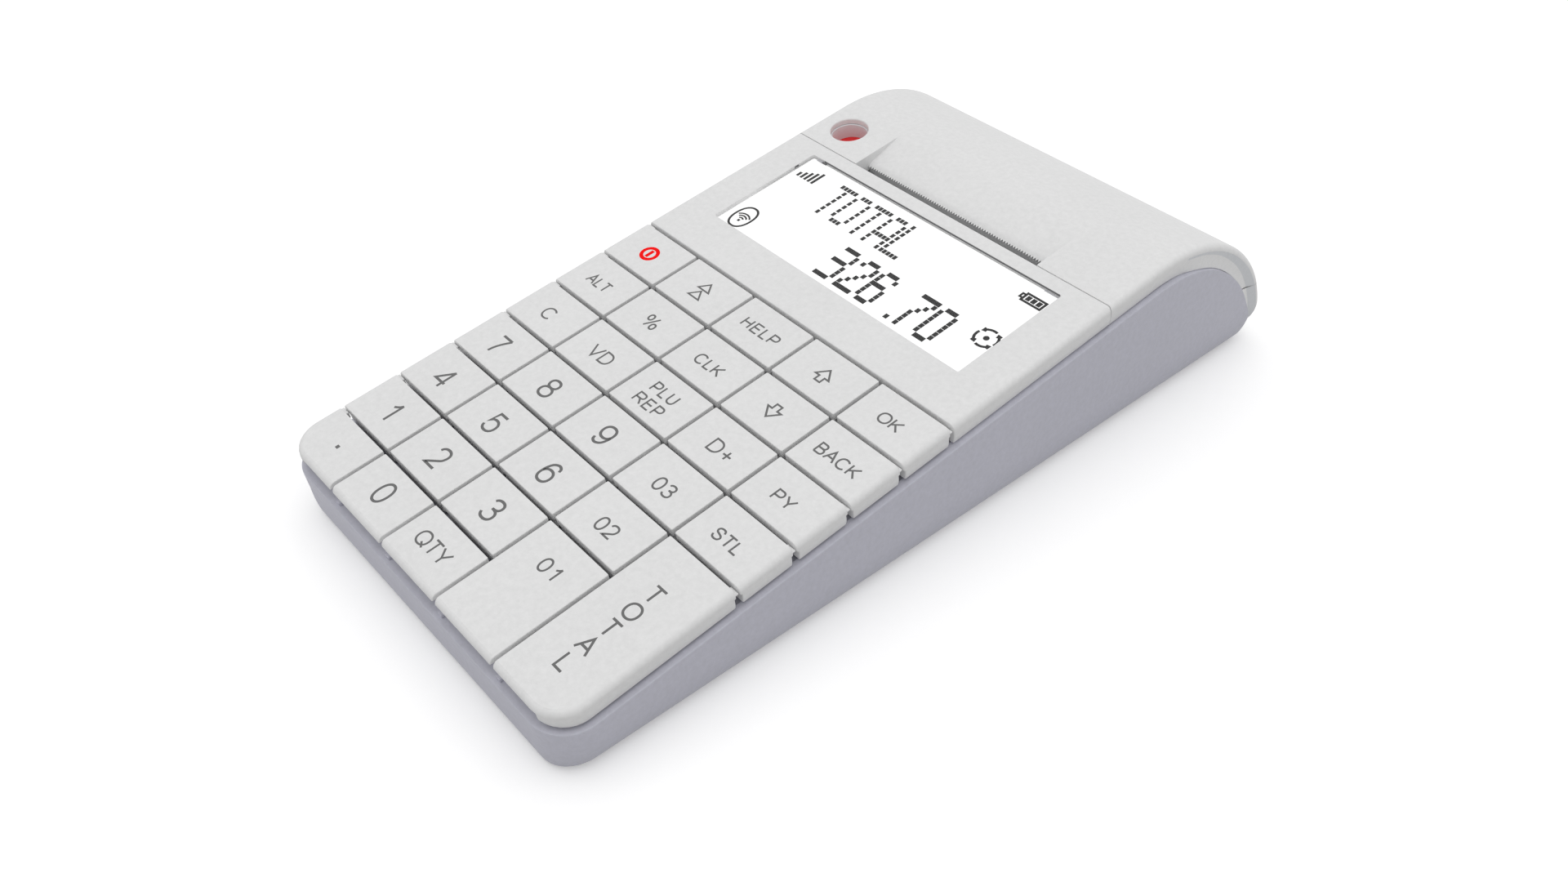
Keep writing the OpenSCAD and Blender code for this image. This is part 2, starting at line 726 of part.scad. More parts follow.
module platforms() {
    slab(frame_hw, platform_v0, platform_v1 + 1, platform_depth, platform_depth + frame_t);
}

module seal() color("crimson") stand() on_slope()
    translate([-seal_x, lid_v + seal_back, -seal_depth - frame_t]) cylinder(r = cup_r - 0.05, h = frame_t);

module paper_roll() color("white") stand() translate([0, well_y, roll_z]) rotate([0, 90, 0])
    difference() {
        cylinder(r = roll_r, h = roll_w, center = true);
        cylinder(r = core_r, h = roll_w + 2, center = true);
    }

// ---- lid ----

module paper_lid() color("whitesmoke") stand() difference() {
    union() {
        difference() {
            union() {
                slope_run(lid_v, tangent_v) shell_section(lid_skirt, lid_wall);
                hump_run(90 + tilt, split_angle) shell_section(lid_skirt, lid_wall);
                slab(cover_hw - key_side / 2, lid_v, lid_v + key_side, lid_wall / 2, skirt_h);
            }
            slab(ramp_w / 2, lid_v - 1, ramp_v1, -1, lid_skirt + 1);
            on_slope() translate([-seal_x, lid_v + seal_back, -lid_skirt]) cylinder(r = seal_hole_r, h = 9);
        }
        lid_ramp();
        platen_brackets();
        lid_barrel();
        lid_shoulders();
    }
    along_hinge(knuckle_hw + lid_gap) circle(barrel_r + barrel_gap);
    along_hinge(body_w) circle(pin_r + run_gap);
    along_platen(body_w) circle(shaft_r + run_gap);
}

module along_hinge(hw) {
    along_x(-hw, hw) translate([hinge_y, hinge_z]) children();
}

module along_platen(hw) {
    along_x(-hw, hw) translate([platen_y, platen_z]) children();
}

module lid_ramp() {
    low = -ramp_drop - lid_wall;
    on_slope() {
        along_x(-ramp_w / 2, ramp_w / 2) polygon([
            [strip_v, ramp_n(strip_v)], [ramp_v1, 0], [ramp_v1, -lid_wall],
            [strip_v + (ramp_n(strip_v) - low) * tan(ramp_angle), low]
        ]);
        both_sides() along_x(ramp_w / 2, ramp_w / 2 + lid_wall) polygon([
            [lid_v, -lid_wall / 2], [ramp_v1, -lid_wall / 2], [ramp_v1, -lid_wall],
            [tear_v, low], [lid_v, low]
        ]);
    }
}

module platen_brackets() {
    v0 = platen_v - shaft_r - 2;
    v1 = platen_v + platen_r;
    both_sides() on_slope() along_x(bracket_x, bracket_x + lid_wall) {
        polygon([
            [v0, ramp_n(v0) - lid_wall / 2], [v1, ramp_n(v1) - lid_wall / 2],
            [platen_v + shaft_r + 1.8, -platen_depth], [platen_v - shaft_r - 1.8, -platen_depth]
        ]);
        translate([platen_v, -platen_depth]) circle(shaft_r + 1.8);
    }
}

module lid_barrel() {
    both_sides() along_x(knuckle_hw + lid_gap, cover_hw) translate([hinge_y, hinge_z]) circle(barrel_r);
}

// Crescent shoulders: what lies between the skirt's lower edge and a circle set higher.
module lid_shoulders() {
    low = split_angle - tilt + 0.3;
    both_sides() on_slope(tangent_v) along_x(cover_hw - 0.2, cover_hw + shoulder)
        translate([0, -hump_r]) intersection() {
            difference() {
                translate([0.5, 3.7]) circle(hump_r - 5.56);
                circle(hump_r - lid_skirt);
            }
            polygon([[0, 0], 90 * [cos(low), sin(low)], [90, 90], 90 * [cos(78), sin(78)]]);
        }
}

// Saw-toothed strip along the ramp's lower edge.
module tear_bar() color("whitesmoke") stand() on_slope() {
    count = floor(ramp_w / tooth_pitch);
    hw = count * tooth_pitch / 2;
    tips = [for (i = [0 : count - 1]) each [
        [-hw + i * tooth_pitch, 0], [-hw + (i + 0.5) * tooth_pitch, -tooth_l]
    ]];
    translate([0, tear_v, ramp_n(tear_v)]) rotate([ramp_angle, 0, 0]) translate([0, 0, -tear_t])
        linear_extrude(tear_t) polygon(concat(tips, [[hw, 0], [hw, tear_base], [-hw, tear_base]]));
}

module lid_pin() color("silver") stand()
    along_hinge(cover_hw - edge_r) circle(pin_r);

// ---- rear cover ----

module rear_cover() color("whitesmoke") stand() difference() {
    union() {
        intersection() {
            hump_run(split_angle - split_gap, -5) shell_section(rim_depth - 0.05, bezel_t);
            translate([-body_w, 0, lip_z]) cube([2 * body_w, 2 * overall_l, 60]);
        }
        along_hinge(knuckle_hw) circle(barrel_r);
        intersection() {
            both_sides() {
                translate([rear_screw_x, rear_screw_y, boss_z]) cylinder(r = boss_r, h = 40);
                translate([rear_screw_x - 0.7, rear_screw_y, boss_z]) cube([1.4, 20, 40]);
            }
            under_skin(bezel_t / 2, body_w);
            translate([-body_w, 0, 0]) cube([2 * body_w, 2 * overall_l, hinge_z - 2.4]);
        }
    }
    both_sides() {
        along_x(knuckle_hw, body_w) translate([hinge_y, hinge_z]) circle(barrel_r + barrel_gap);
        translate([rear_screw_x, rear_screw_y, 0]) cylinder(r = screw_r + 0.1, h = screw_end + 0.4);
    }
    along_hinge(body_w) circle(pin_r + run_gap);
    translate([-jack_x, port_y - 1, port_z]) rotate([-90, 0, 0]) cylinder(r = jack_w / 2 + 0.3, h = 20);
    translate([usb_x - usb_w / 2 - 0.3, port_y - 1, port_z - usb_h / 2 - 0.3])
        cube([usb_w + 0.6, 20, usb_h + 0.6]);
}

module power_jack() color("black") stand() {
    difference() {
        union() {
            translate([-jack_x - jack_w / 2, port_y - jack_l, port_z - jack_w / 2])
                cube([jack_w, jack_l - 2, jack_w]);
            translate([-jack_x, port_y - 3, port_z]) rotate([-90, 0, 0]) cylinder(r = jack_w / 2, h = 3);
        }
        translate([-jack_x, port_y - jack_l + 1.5, port_z]) rotate([-90, 0, 0]) cylinder(r = jack_r, h = jack_l);
    }
    translate([-jack_x, port_y - jack_l + 1, port_z]) rotate([-90, 0, 0]) cylinder(r = 0.65, h = jack_l - 2);
}

module data_socket() color("silver") stand() {
    difference() {
        translate([usb_x - usb_w / 2, port_y - usb_l, port_z - usb_h / 2]) cube([usb_w, usb_l, usb_h]);
        translate([usb_x - usb_w / 2 + 0.4, port_y - usb_l + 1, port_z - usb_h / 2 + 0.4])
            cube([usb_w - 0.8, usb_l, usb_h - 0.8]);
    }
    translate([usb_x - 2.2, port_y - usb_l + 0.5, port_z - 0.2]) cube([4.4, usb_l - 1.5, 0.7]);
}

// ---- battery ----

module battery_pack() color("royalblue") stand() {
    r = battery_h / 2;
    z = floor_z + r;
    intersection() {
        union() {
            for (y = [r, battery_l - r]) along_x(-battery_w / 2, battery_w / 2)
                translate([bay_y0 + battery_gap + y, z]) circle(r);
            translate([-battery_w / 2, bay_y0 + battery_gap + r, floor_z])
                cube([battery_w, battery_l - 2 * r, battery_h]);
        }
        translate([-battery_w / 2, bay_y0, 0]) cube([battery_w, bay_l, 60]);
    }
}

module battery_door() color("lightslategray") stand() {
    gap = 0.2;
    hw = bay_hw + door_margin - gap;
    translate([-hw, bay_y0 - door_margin + gap, foot_h])
        cube([2 * hw, bay_l + 2 * (door_margin - gap), door_t]);
    both_sides() translate([bay_hw - 14, bay_y0 + gap, foot_h + door_t - 0.2])
        cube([10, 1.2, floor_t + 0.8 - door_t]);
}

// ---- printer ----

module printer_chassis() color("darkgray") stand() {
    difference() {
        both_sides() along_x(chassis_x, chassis_x + chassis_t) chassis_side();
        along_x(chassis_x - 1, body_w) translate([pinion_y, pinion_z]) circle(stud_r + 0.6);
        along_x(-body_w, body_w) translate([slope_y(head_v + head_t / 2, -head_pivot),
                                            slope_z(head_v + head_t / 2, -head_pivot)])
            circle(stud_r + run_gap);
    }
    on_slope() translate([-chassis_x - 0.5, lid_v - 2.8, -head_pivot])
        cube([2 * chassis_x + 1, 1.8, head_pivot - deck_bottom - 1]);
    translate([-chassis_x - 0.5, platen_y - 2, floor_z]) cube([2 * chassis_x + 1, 5, chassis_t]);
    along_x(chassis_x + chassis_t / 2, gear_x + gear_w + 0.4) translate([idler_y, idler_z]) circle(stud_r);
}

// Side plate with a slot, open at the top, that the platen's shaft drops into.
module chassis_side() {
    top = lid_skirt + 0.3;
    difference() {
        polygon([
            [pinion_y - motor_r - 1, floor_z], [pinion_y - motor_r - 1, pinion_z + 3],
            [slope_y(lid_v - 3, -deck_bottom - 1), slope_z(lid_v - 3, -deck_bottom - 1)],
            [slope_y(lid_v - 0.2, -deck_bottom - 1), slope_z(lid_v - 0.2, -deck_bottom - 1)],
            [slope_y(lid_v - 0.2, -top), slope_z(lid_v - 0.2, -top)],
            [slope_y(platen_v + 5.5, -top), slope_z(platen_v + 5.5, -top)],
            [platen_y + 5, floor_z]
        ]);
        translate([platen_y, platen_z]) {
            circle(shaft_r + platen_gap_n);
            rotate(lift_angle) translate([0, -shaft_r - platen_gap_n]) square([12, 2 * (shaft_r + platen_gap_n)]);
        }
    }
}

module print_head() color("dimgray") stand() {
    hw = chassis_x - 0.4;
    on_slope() {
        translate([-platen_l / 2, head_v, -head_pivot]) cube([platen_l, head_t, head_pivot - head_top]);
        along_x(-hw, hw) translate([head_v + head_t / 2, -head_pivot]) circle(stud_r + 0.6);
        along_x(-hw - chassis_t, hw + chassis_t) translate([head_v + head_t / 2, -head_pivot]) circle(stud_r);
    }
}

module feed_motor() color("silver") stand() difference() {
    along_x(chassis_x - motor_l, chassis_x) translate([pinion_y, pinion_z]) circle(motor_r);
    along_x(chassis_x - motor_l / 2, body_w) translate([pinion_y, pinion_z]) circle(stud_r + run_gap);
}

module platen_shaft() color("silver") stand()
    along_x(-chassis_x - chassis_t - 1, gear_x + gear_w + 0.4) translate([platen_y, platen_z]) circle(shaft_r);

module platen_rubber() color("dimgray") stand() along_platen(platen_l / 2) difference() {
    circle(platen_r);
    circle(shaft_r + 0.02);
}

// Spur gear outline; a tooth is centred on the given angle.
module gear_outline(teeth, angle) {
    step_a = 360 / teeth;
    root = gear_m * (teeth / 2 - 1.2);
    tip = gear_m * (teeth / 2 + 0.85);
    polygon([for (i = [0 : teeth - 1]) for (p = [[-0.31, root], [-0.13, tip], [0.13, tip], [0.31, root]])
        let (a = angle + (i + p[0]) * step_a) p[1] * [cos(a), sin(a)]]);
}

module gear(y, z, teeth, angle, bore) {
    along_x(gear_x, gear_x + gear_w) translate([y, z]) difference() {
        gear_outline(teeth, angle);
        circle(bore);
    }
}

module platen_gear() color("ivory") stand()
    gear(platen_y, platen_z, platen_teeth, idler_angle, shaft_r + 0.02);

// The idler meets the platen gear with a gap between two of its teeth.
idler_phase = idler_angle + 180 + 180 / idler_teeth;

module idler_gear() color("ivory") stand()
    gear(idler_y, idler_z, idler_teeth, idler_phase, stud_r + run_gap);

// The pinion's gap lies where the idler's nearest tooth stands off the line of centres.
tooth_off = (pinion_angle - idler_phase) / (360 / idler_teeth);
off_frac = tooth_off - floor(tooth_off);
pinion_phase = pinion_angle + 180 + (off_frac + 0.5) * 360 / pinion_teeth;

module motor_pinion() color("ivory") stand() {
    along_x(gear_x, gear_x + gear_w) translate([pinion_y, pinion_z])
        gear_outline(pinion_teeth, pinion_phase);
    along_x(chassis_x - motor_l / 2 + 1, gear_x + 0.5) translate([pinion_y, pinion_z]) circle(stud_r);
}

key("key_power");  // key_power
key("key_feed");  // key_feed
key("key_help");  // key_help
key("key_up");  // key_up
key("key_ok");  // key_ok
key("key_alt");  // key_alt
key("key_percent");  // key_percent
key("key_clerk");  // key_clerk
key("key_down");  // key_down
key("key_back");  // key_back
key("key_clear");  // key_clear
key("key_void");  // key_void
key("key_plu");  // key_plu
key("key_dept_plus");  // key_dept_plus
key("key_payment");  // key_payment
key("key_seven");  // key_seven
key("key_eight");  // key_eight
key("key_nine");  // key_nine
key("key_dept_three");  // key_dept_three
key("key_subtotal");  // key_subtotal
key("key_four");  // key_four
key("key_five");  // key_five
key("key_six");  // key_six
key("key_dept_two");  // key_dept_two
key("key_total");  // key_total
key("key_one");  // key_one
key("key_two");  // key_two
key("key_three");  // key_three
key("key_dept_one");  // key_dept_one
key("key_point");  // key_point
key("key_zero");  // key_zero
key("key_quantity");  // key_quantity
lower_housing();
key_deck();
dome_mat();
main_board();
display_bezel();
display_window();
display_glass();
inner_frame();
seal();
paper_lid();
tear_bar();
lid_pin();
platen_shaft();
platen_rubber();
platen_gear();
idler_gear();
motor_pinion();
feed_motor();
printer_chassis();
print_head();
paper_roll();
battery_pack();
battery_door();
rear_cover();
power_jack();
data_socket();
case_screws();
rubber_feet();
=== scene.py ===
import math

import bpy
import numpy as np
from mathutils import Matrix


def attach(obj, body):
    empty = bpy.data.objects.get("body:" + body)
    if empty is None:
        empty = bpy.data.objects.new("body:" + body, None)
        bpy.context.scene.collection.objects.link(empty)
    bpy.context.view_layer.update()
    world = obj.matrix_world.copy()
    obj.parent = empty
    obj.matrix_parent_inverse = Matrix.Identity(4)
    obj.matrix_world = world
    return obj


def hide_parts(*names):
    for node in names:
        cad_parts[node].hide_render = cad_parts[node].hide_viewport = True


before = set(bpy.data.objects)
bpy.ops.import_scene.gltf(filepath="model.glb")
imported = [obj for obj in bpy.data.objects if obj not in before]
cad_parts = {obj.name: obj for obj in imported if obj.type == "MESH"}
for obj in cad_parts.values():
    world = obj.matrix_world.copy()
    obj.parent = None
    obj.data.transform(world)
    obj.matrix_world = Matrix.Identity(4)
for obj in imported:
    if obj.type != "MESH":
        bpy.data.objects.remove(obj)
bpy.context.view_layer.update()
print("frame loaded:", len(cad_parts), "nodes")

# Sizes are in millimetres until a mesh is made. Tray frame: x right, y back from the
# front wall, z up. Slope frame: x, v back along the keypad, n out of it. A depth is
# measured inwards from the skin of the white covers.
case = {
    "tilt": math.radians(8), "frontHeight": 18.7, "halfLength": 109.4955,
    "coverHalf": 52.58, "trayHalf": 53.46,
    "columnPitch": 21.2, "rowPitch": 14.64, "columns": 5, "rows": 7, "gap": 0.84,
    "bezelFront": 103.0, "bezelBack": 153.0, "lidFront": 153.2,
    "humpRadius": 45.2, "humpY": 174.2401, "humpZ": -2.4564,
    "humpAngle": 98, "splitAngle": 27.5, "lipHeight": 3.9,
}
cosTilt, sinTilt = math.cos(case["tilt"]), math.sin(case["tilt"])


def slopePoints(x, v, n):
    # turns the slope frame by the tilt and lifts it to the front wall's height
    x, v, n = np.broadcast_arrays(x, v, n)
    return np.stack([x, v * cosTilt - n * sinTilt,
                     case["frontHeight"] + v * sinTilt + n * cosTilt], -1)


def humpPoints(x, angle, depth):
    # circle of the hump's radius less the depth; the angle in degrees is above the horizontal
    x, angle, depth = np.broadcast_arrays(x, np.radians(angle), depth)
    radius = case["humpRadius"] - depth
    return np.stack([x, case["humpY"] + radius * np.cos(angle),
                     case["humpZ"] + radius * np.sin(angle)], -1)


def roundInset(depth, radius):
    # how far a quarter-round edge has drawn in at a depth below its top
    left = np.maximum(radius - depth, 0)
    return radius - np.sqrt(np.maximum(radius ** 2 - left ** 2, 0))


def smooth(value, low, high):
    # 0 at low, 1 at high, eased at both ends; low may be the larger
    share = np.clip((value - low) / (high - low), 0, 1)
    return share * share * (3 - 2 * share)


def gridPart(rings, closed=False):
    # Quads join each ring of points to the next. A flat face closes both ends, or the
    # last ring joins the first. The faces are turned outwards by the sign of the volume.
    rings = np.asarray(rings, float)
    count, around = rings.shape[:2]
    index = np.arange(count * around).reshape(count, around)
    rows = np.vstack([index, index[:1]]) if closed else index
    low, high = rows[:-1], rows[1:]
    quads = np.stack([low, np.roll(low, -1, 1), np.roll(high, -1, 1), high], -1).reshape(-1, 4)
    caps = [] if closed else [index[0][::-1], index[-1]]
    points = rings.reshape(-1, 3)
    triangles = [quads[:, [0, 1, 2]], quads[:, [0, 2, 3]]]
    triangles += [np.stack([np.full(around - 2, c[0]), c[1:-1], c[2:]], -1) for c in caps]
    corners = points[np.concatenate(triangles)] - points.mean(0)
    volume = np.einsum("ij,ij->i", corners[:, 0], np.cross(corners[:, 1], corners[:, 2])).sum()
    faces = quads.tolist() + [c.tolist() for c in caps]
    if volume < 0:
        faces = [f[::-1] for f in faces]
    return points, faces


def planRing(left, right, front, back, radii, arcPoints=5):
    # rounded rectangles, one for each ring, run round from the front left corner
    left, right, front, back = (np.atleast_1d(np.asarray(a, float))[:, None]
                                for a in (left, right, front, back))
    corners = ((left, 1, front, 1, 180), (right, -1, front, 1, 270),
               (right, -1, back, -1, 0), (left, 1, back, -1, 90))
    parts = []
    for (x, inX, v, inV, start), radius in zip(corners, radii):
        radius = np.atleast_1d(np.asarray(radius, float))[:, None]
        turn = np.radians(start + np.linspace(0, 90, arcPoints))
        parts.append(np.stack(np.broadcast_arrays(x + inX * radius + radius * np.cos(turn),
                                                  v + inV * radius + radius * np.sin(turn)), -1))
    return np.concatenate(parts, 1)


def blockPart(x0, x1, v0, v1, top, bottom, onSlope=True, radius=0.15):
    # block with rounded upright corners and a small chamfer along its top and bottom
    inset = np.array([radius, 0, 0, radius])
    plan = planRing(x0 + inset, x1 - inset, v0 + inset, v1 - inset, [radius] * 4, 3)
    height = np.array([top, top - radius, bottom + radius, bottom])[:, None]
    if onSlope:
        return gridPart(slopePoints(plan[..., 0], plan[..., 1], height))
    return gridPart(np.dstack([plan, np.broadcast_to(height, plan.shape[:2])]))


def drumPart(profile, place, count=40):
    # a profile of (distance, radius) turned about an axis; place makes points of
    # the distance along the axis and of the two coordinates across it
    profile = np.asarray(profile, float)
    turn = np.linspace(0, 2 * math.pi, count, endpoint=False)
    along, radius = profile[:, :1], profile[:, 1:]
    return gridPart(place(along + 0 * turn, radius * np.cos(turn), radius * np.sin(turn)))


def prismPart(outline, x0, x1, place):
    # a side outline of (v, n) or (y, z) points, run straight across from x0 to x1
    outline = np.asarray(outline, float)
    x = np.array([[x0], [x1]])
    return gridPart(place(x, outline[None, :, 0], outline[None, :, 1]))


def trayPoints(x, y, z):
    # points of the tray frame as they are
    return np.stack(np.broadcast_arrays(x, y, z), -1)


def rawObject(name, parts):
    # one mesh of several closed shells, in the row frame's metres
    points, faces, start = [], [], 0
    for partPoints, partFaces in parts:
        points.append(partPoints)
        faces += [[i + start for i in f] for f in partFaces]
        start += len(partPoints)
    points = (np.concatenate(points) - (0, case["halfLength"], 0)) / 1000
    mesh = bpy.data.meshes.new(name)
    mesh.from_pydata(points.tolist(), [], faces)
    mesh.update()
    piece = bpy.data.objects.new(name, mesh)
    bpy.context.scene.collection.objects.link(piece)
    return piece


def combine(piece, parts, operation):
    # exact boolean with another set of shells
    tool = rawObject("tool", parts)
    step = piece.modifiers.new("combine", "BOOLEAN")
    step.object, step.operation, step.solver = tool, operation, "EXACT"
    bpy.context.view_layer.update()
    depsgraph = bpy.context.evaluated_depsgraph_get()
    made = bpy.data.meshes.new_from_object(piece.evaluated_get(depsgraph))
    piece.modifiers.clear()
    old = piece.data
    piece.data = made
    bpy.data.meshes.remove(old)
    toolMesh = tool.data
    bpy.data.objects.remove(tool)
    bpy.data.meshes.remove(toolMesh)


def finishPiece(piece, material, rider, stands=(), sharp=32):
    # smooth faces, hard edges above an angle, one material, and the body it rides on
    mesh = piece.data
    mesh.materials.clear()
    mesh.materials.append(material)
    mesh.shade_smooth()
    mesh.set_sharp_from_angle(angle=math.radians(sharp))
    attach(piece, rider)
    if stands:
        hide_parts(*stands)
    return piece


def makePiece(name, parts, material, rider, stands=(), sharp=32):
    # a piece made of closed shells alone, with no boolean
    return finishPiece(rawObject(name, parts), material, rider, stands, sharp)


def linear(red, green, blue):
    # screen colour from 0 to 255 as linear values
    value = np.array([red, green, blue]) / 255
    value = np.where(value <= 0.04045, value / 12.92, ((value + 0.055) / 1.055) ** 2.4)
    return (*value.tolist(), 1)


def groupWith(name, inputs, outputs):
    # an empty node group with its named inputs and outputs
    tree = bpy.data.node_groups.new(name, "ShaderNodeTree")
    for label, kind, value in inputs:
        socket = tree.interface.new_socket(label, in_out="INPUT", socket_type=kind)
        socket.default_value = value
    for label, kind in outputs:
        tree.interface.new_socket(label, in_out="OUTPUT", socket_type=kind)
    return tree, tree.nodes.new("NodeGroupInput"), tree.nodes.new("NodeGroupOutput")


def addNode(tree, kind, **settings):
    # a node whose settings are its own properties or else the values of its inputs
    node = tree.nodes.new(kind)
    for key, value in settings.items():
        if hasattr(node, key):
            setattr(node, key, value)
        else:
            node.inputs[key].default_value = value
    return node


def setInputs(node, values):
    # sets inputs of a node by their names
    for label, value in values.items():
        node.inputs[label].default_value = value


def mathNode(tree, operation, *values):
    # a math node of the values: sockets are linked, and numbers are set on its inputs
    node = addNode(tree, "ShaderNodeMath", operation=operation)
    for index, value in enumerate(values):
        if isinstance(value, bpy.types.NodeSocket):
            tree.links.new(value, node.inputs[index])
        else:
            node.inputs[index].default_value = value
    return node.outputs[0]


def noiseNode(tree, place, **settings):
    # noise in the piece's own coordinates
    node = addNode(tree, "ShaderNodeTexNoise", **settings)
    tree.links.new(place, node.inputs["Vector"])
    return node


def rangeNode(tree, value, low, high):
    # takes a value of 0 to low and one of 1 to high, in proportion between
    node = addNode(tree, "ShaderNodeMapRange")
    setInputs(node, {"To Min": low, "To Max": high})
    tree.links.new(value, node.inputs["Value"])
    return node.outputs["Result"]


moulding = {
    "grain": {"Detail": 2.5, "Roughness": 0.6}, "mottle": {"Scale": 800, "Detail": 3, "Roughness": 0.65},
    "slow": {"Scale": 38, "Detail": 2}, "slowShare": 0.25, "mean": 0.625, "roughnessDrift": 0.25,
    "relief": 0.00002,
}


def mouldedGroup(sizes):
    # Fine pimples for the height. The tone is the colour times one plus the drift times a
    # mottle, and the roughness adds a share of it: fine noise and some slow noise, less their mean.
    tree, given, made = groupWith(
        "mouldedFinish",
        [("Color", "NodeSocketColor", (0.8, 0.8, 0.8, 1)), ("Roughness", "NodeSocketFloat", 0.5),
         ("Grain", "NodeSocketFloat", 1800), ("Drift", "NodeSocketFloat", 0.03)],
        [("Color", "NodeSocketColor"), ("Roughness", "NodeSocketFloat"), ("Height", "NodeSocketFloat")])
    link = tree.links.new
    place = addNode(tree, "ShaderNodeTexCoord").outputs["Object"]
    grain = noiseNode(tree, place, **sizes["grain"])
    link(given.outputs["Grain"], grain.inputs["Scale"])
    mottle = noiseNode(tree, place, **sizes["mottle"])
    slow = noiseNode(tree, place, **sizes["slow"])
    both = mathNode(tree, "MULTIPLY_ADD", slow.outputs["Fac"], sizes["slowShare"], mottle.outputs["Fac"])
    centred = mathNode(tree, "SUBTRACT", both, sizes["mean"])
    tone = addNode(tree, "ShaderNodeVectorMath", operation="SCALE")
    link(given.outputs["Color"], tone.inputs[0])
    link(mathNode(tree, "MULTIPLY_ADD", centred, given.outputs["Drift"], 1), tone.inputs["Scale"])
    link(tone.outputs[0], made.inputs["Color"])
    rough = mathNode(tree, "MULTIPLY_ADD", centred, sizes["roughnessDrift"], given.outputs["Roughness"])
    link(rough, made.inputs["Roughness"])
    link(grain.outputs["Fac"], made.inputs["Height"])
    return tree


mouldedFinish = mouldedGroup(moulding)


def newMaterial(name):
    # a material, its node tree and its surface shader
    material = bpy.data.materials.new(name)
    material.use_nodes = True
    tree = material.node_tree
    return material, tree, tree.nodes["Principled BSDF"]


def finishNode(tree, surface, values, strength, distance):
    # the shared finish with its values, and a bump of its height on the surface
    finish = addNode(tree, "ShaderNodeGroup", node_tree=mouldedFinish)
    setInputs(finish, values)
    relief = addNode(tree, "ShaderNodeBump", Strength=strength, Distance=distance)
    tree.links.new(finish.outputs["Height"], relief.inputs["Height"])
    tree.links.new(relief.outputs["Normal"], surface.inputs["Normal"])
    return finish


def mouldedMaterial(name, colour, roughness=0.5, grain=1800, drift=0.03, bump=0.08,
                    metallic=0.0, specular=0.5):
    # moulded or brushed stuff: colour and roughness come from the shared finish
    material, tree, surface = newMaterial(name)
    values = {"Color": colour, "Roughness": roughness, "Grain": grain, "Drift": drift}
    finish = finishNode(tree, surface, values, bump, moulding["relief"])
    tree.links.new(finish.outputs["Color"], surface.inputs["Base Color"])
    tree.links.new(finish.outputs["Roughness"], surface.inputs["Roughness"])
    setInputs(surface, {"Metallic": metallic, "Specular IOR Level": specular})
    return material


coverPlastic = mouldedMaterial("coverPlastic", linear(226, 226, 226), 0.52, drift=0.2, bump=0.12)
# painted shade: a darker, cooler copy of the cover's plastic for the recessed band on the hump's flanks
bandPaintedShade = mouldedMaterial("bandPaintedShade", linear(209, 211, 214), 0.52, drift=0.2, bump=0.12)
trayPlastic = mouldedMaterial("trayPlastic", linear(193, 193, 204), 0.55, drift=0.26, bump=0.14)
deckPlastic = mouldedMaterial("deckPlastic", linear(150, 150, 160), 0.6)
framePlastic = mouldedMaterial("framePlastic", linear(222, 222, 224), 0.55)
matSilicone = mouldedMaterial("matSilicone", linear(205, 206, 208), 0.6, grain=900)
boardGreen = mouldedMaterial("boardGreen", linear(36, 96, 58), 0.4, grain=700, drift=0.2)
sealRed = mouldedMaterial("sealRed", linear(226, 40, 44), 0.5, grain=900, drift=0.06)
brightSteel = mouldedMaterial("brightSteel", linear(178, 180, 184), 0.3, metallic=1, grain=2500)
rubberDark = mouldedMaterial("rubberDark", linear(46, 46, 48), 0.7, grain=2200, drift=0.1)
gearNylon = mouldedMaterial("gearNylon", linear(222, 218, 206), 0.5)
chassisZinc = mouldedMaterial("chassisZinc", linear(160, 162, 166), 0.38, metallic=0.9, grain=1500)
headCeramic = mouldedMaterial("headCeramic", linear(70, 72, 76), 0.35, drift=0.1)
paperWhite = mouldedMaterial("paperWhite", linear(238, 238, 234), 0.75, grain=900, drift=0.02)
batteryWrap = mouldedMaterial("batteryWrap", linear(58, 92, 150), 0.35, grain=600, drift=0.06)
jackBlack = mouldedMaterial("jackBlack", linear(34, 34, 36), 0.5, drift=0.1)
inkGrey = mouldedMaterial("inkGrey", linear(102, 102, 102), 0.6, grain=2600, drift=0.08)
inkRed = mouldedMaterial("inkRed", linear(250, 2, 4), 0.6, grain=2600, drift=0.08, specular=0.1)
segmentInk = mouldedMaterial("segmentInk", linear(14, 14, 15), 0.6, grain=2600, drift=0.1, specular=0.1)
clipGrey = mouldedMaterial("clipGrey", linear(176, 176, 180), 0.6, specular=0.2)
# dark grey: painted shadow for the strip along the window recess's rear wall, also used for the small dark
# trim marks
shadowAndTrimDark = mouldedMaterial("shadowAndTrimDark", linear(112, 112, 114), 0.7, grain=2200, drift=0.06, specular=0.2)


def backlightMaterial():
    # an even white glow with a faint mottle
    material, tree, surface = newMaterial("displayBacklight")
    place = addNode(tree, "ShaderNodeTexCoord").outputs["Object"]
    mottle = noiseNode(tree, place, Scale=900, Detail=2)
    tree.links.new(rangeNode(tree, mottle.outputs["Fac"], 0.96, 1.0), surface.inputs["Emission Color"])
    setInputs(surface, {"Base Color": (0.02, 0.02, 0.02, 1), "Roughness": 0.4,
                        "Specular IOR Level": 0.1, "Emission Strength": 1.04})
    return material


def windowMaterial():
    # clear acrylic, its surface slightly uneven
    material, tree, surface = newMaterial("clearWindow")
    values = {"Color": (1, 1, 1, 1), "Roughness": 0.02, "Grain": 60, "Drift": 0.0}
    finishNode(tree, surface, values, 0.02, 0.0001)
    setInputs(surface, {"Base Color": (1, 1, 1, 1), "Roughness": 0.02, "Transmission Weight": 1,
                        "IOR": 1.49, "Specular IOR Level": 0.1})
    return material


displayBacklight = backlightMaterial()
clearWindow = windowMaterial()
print("materials made:", len(bpy.data.materials))


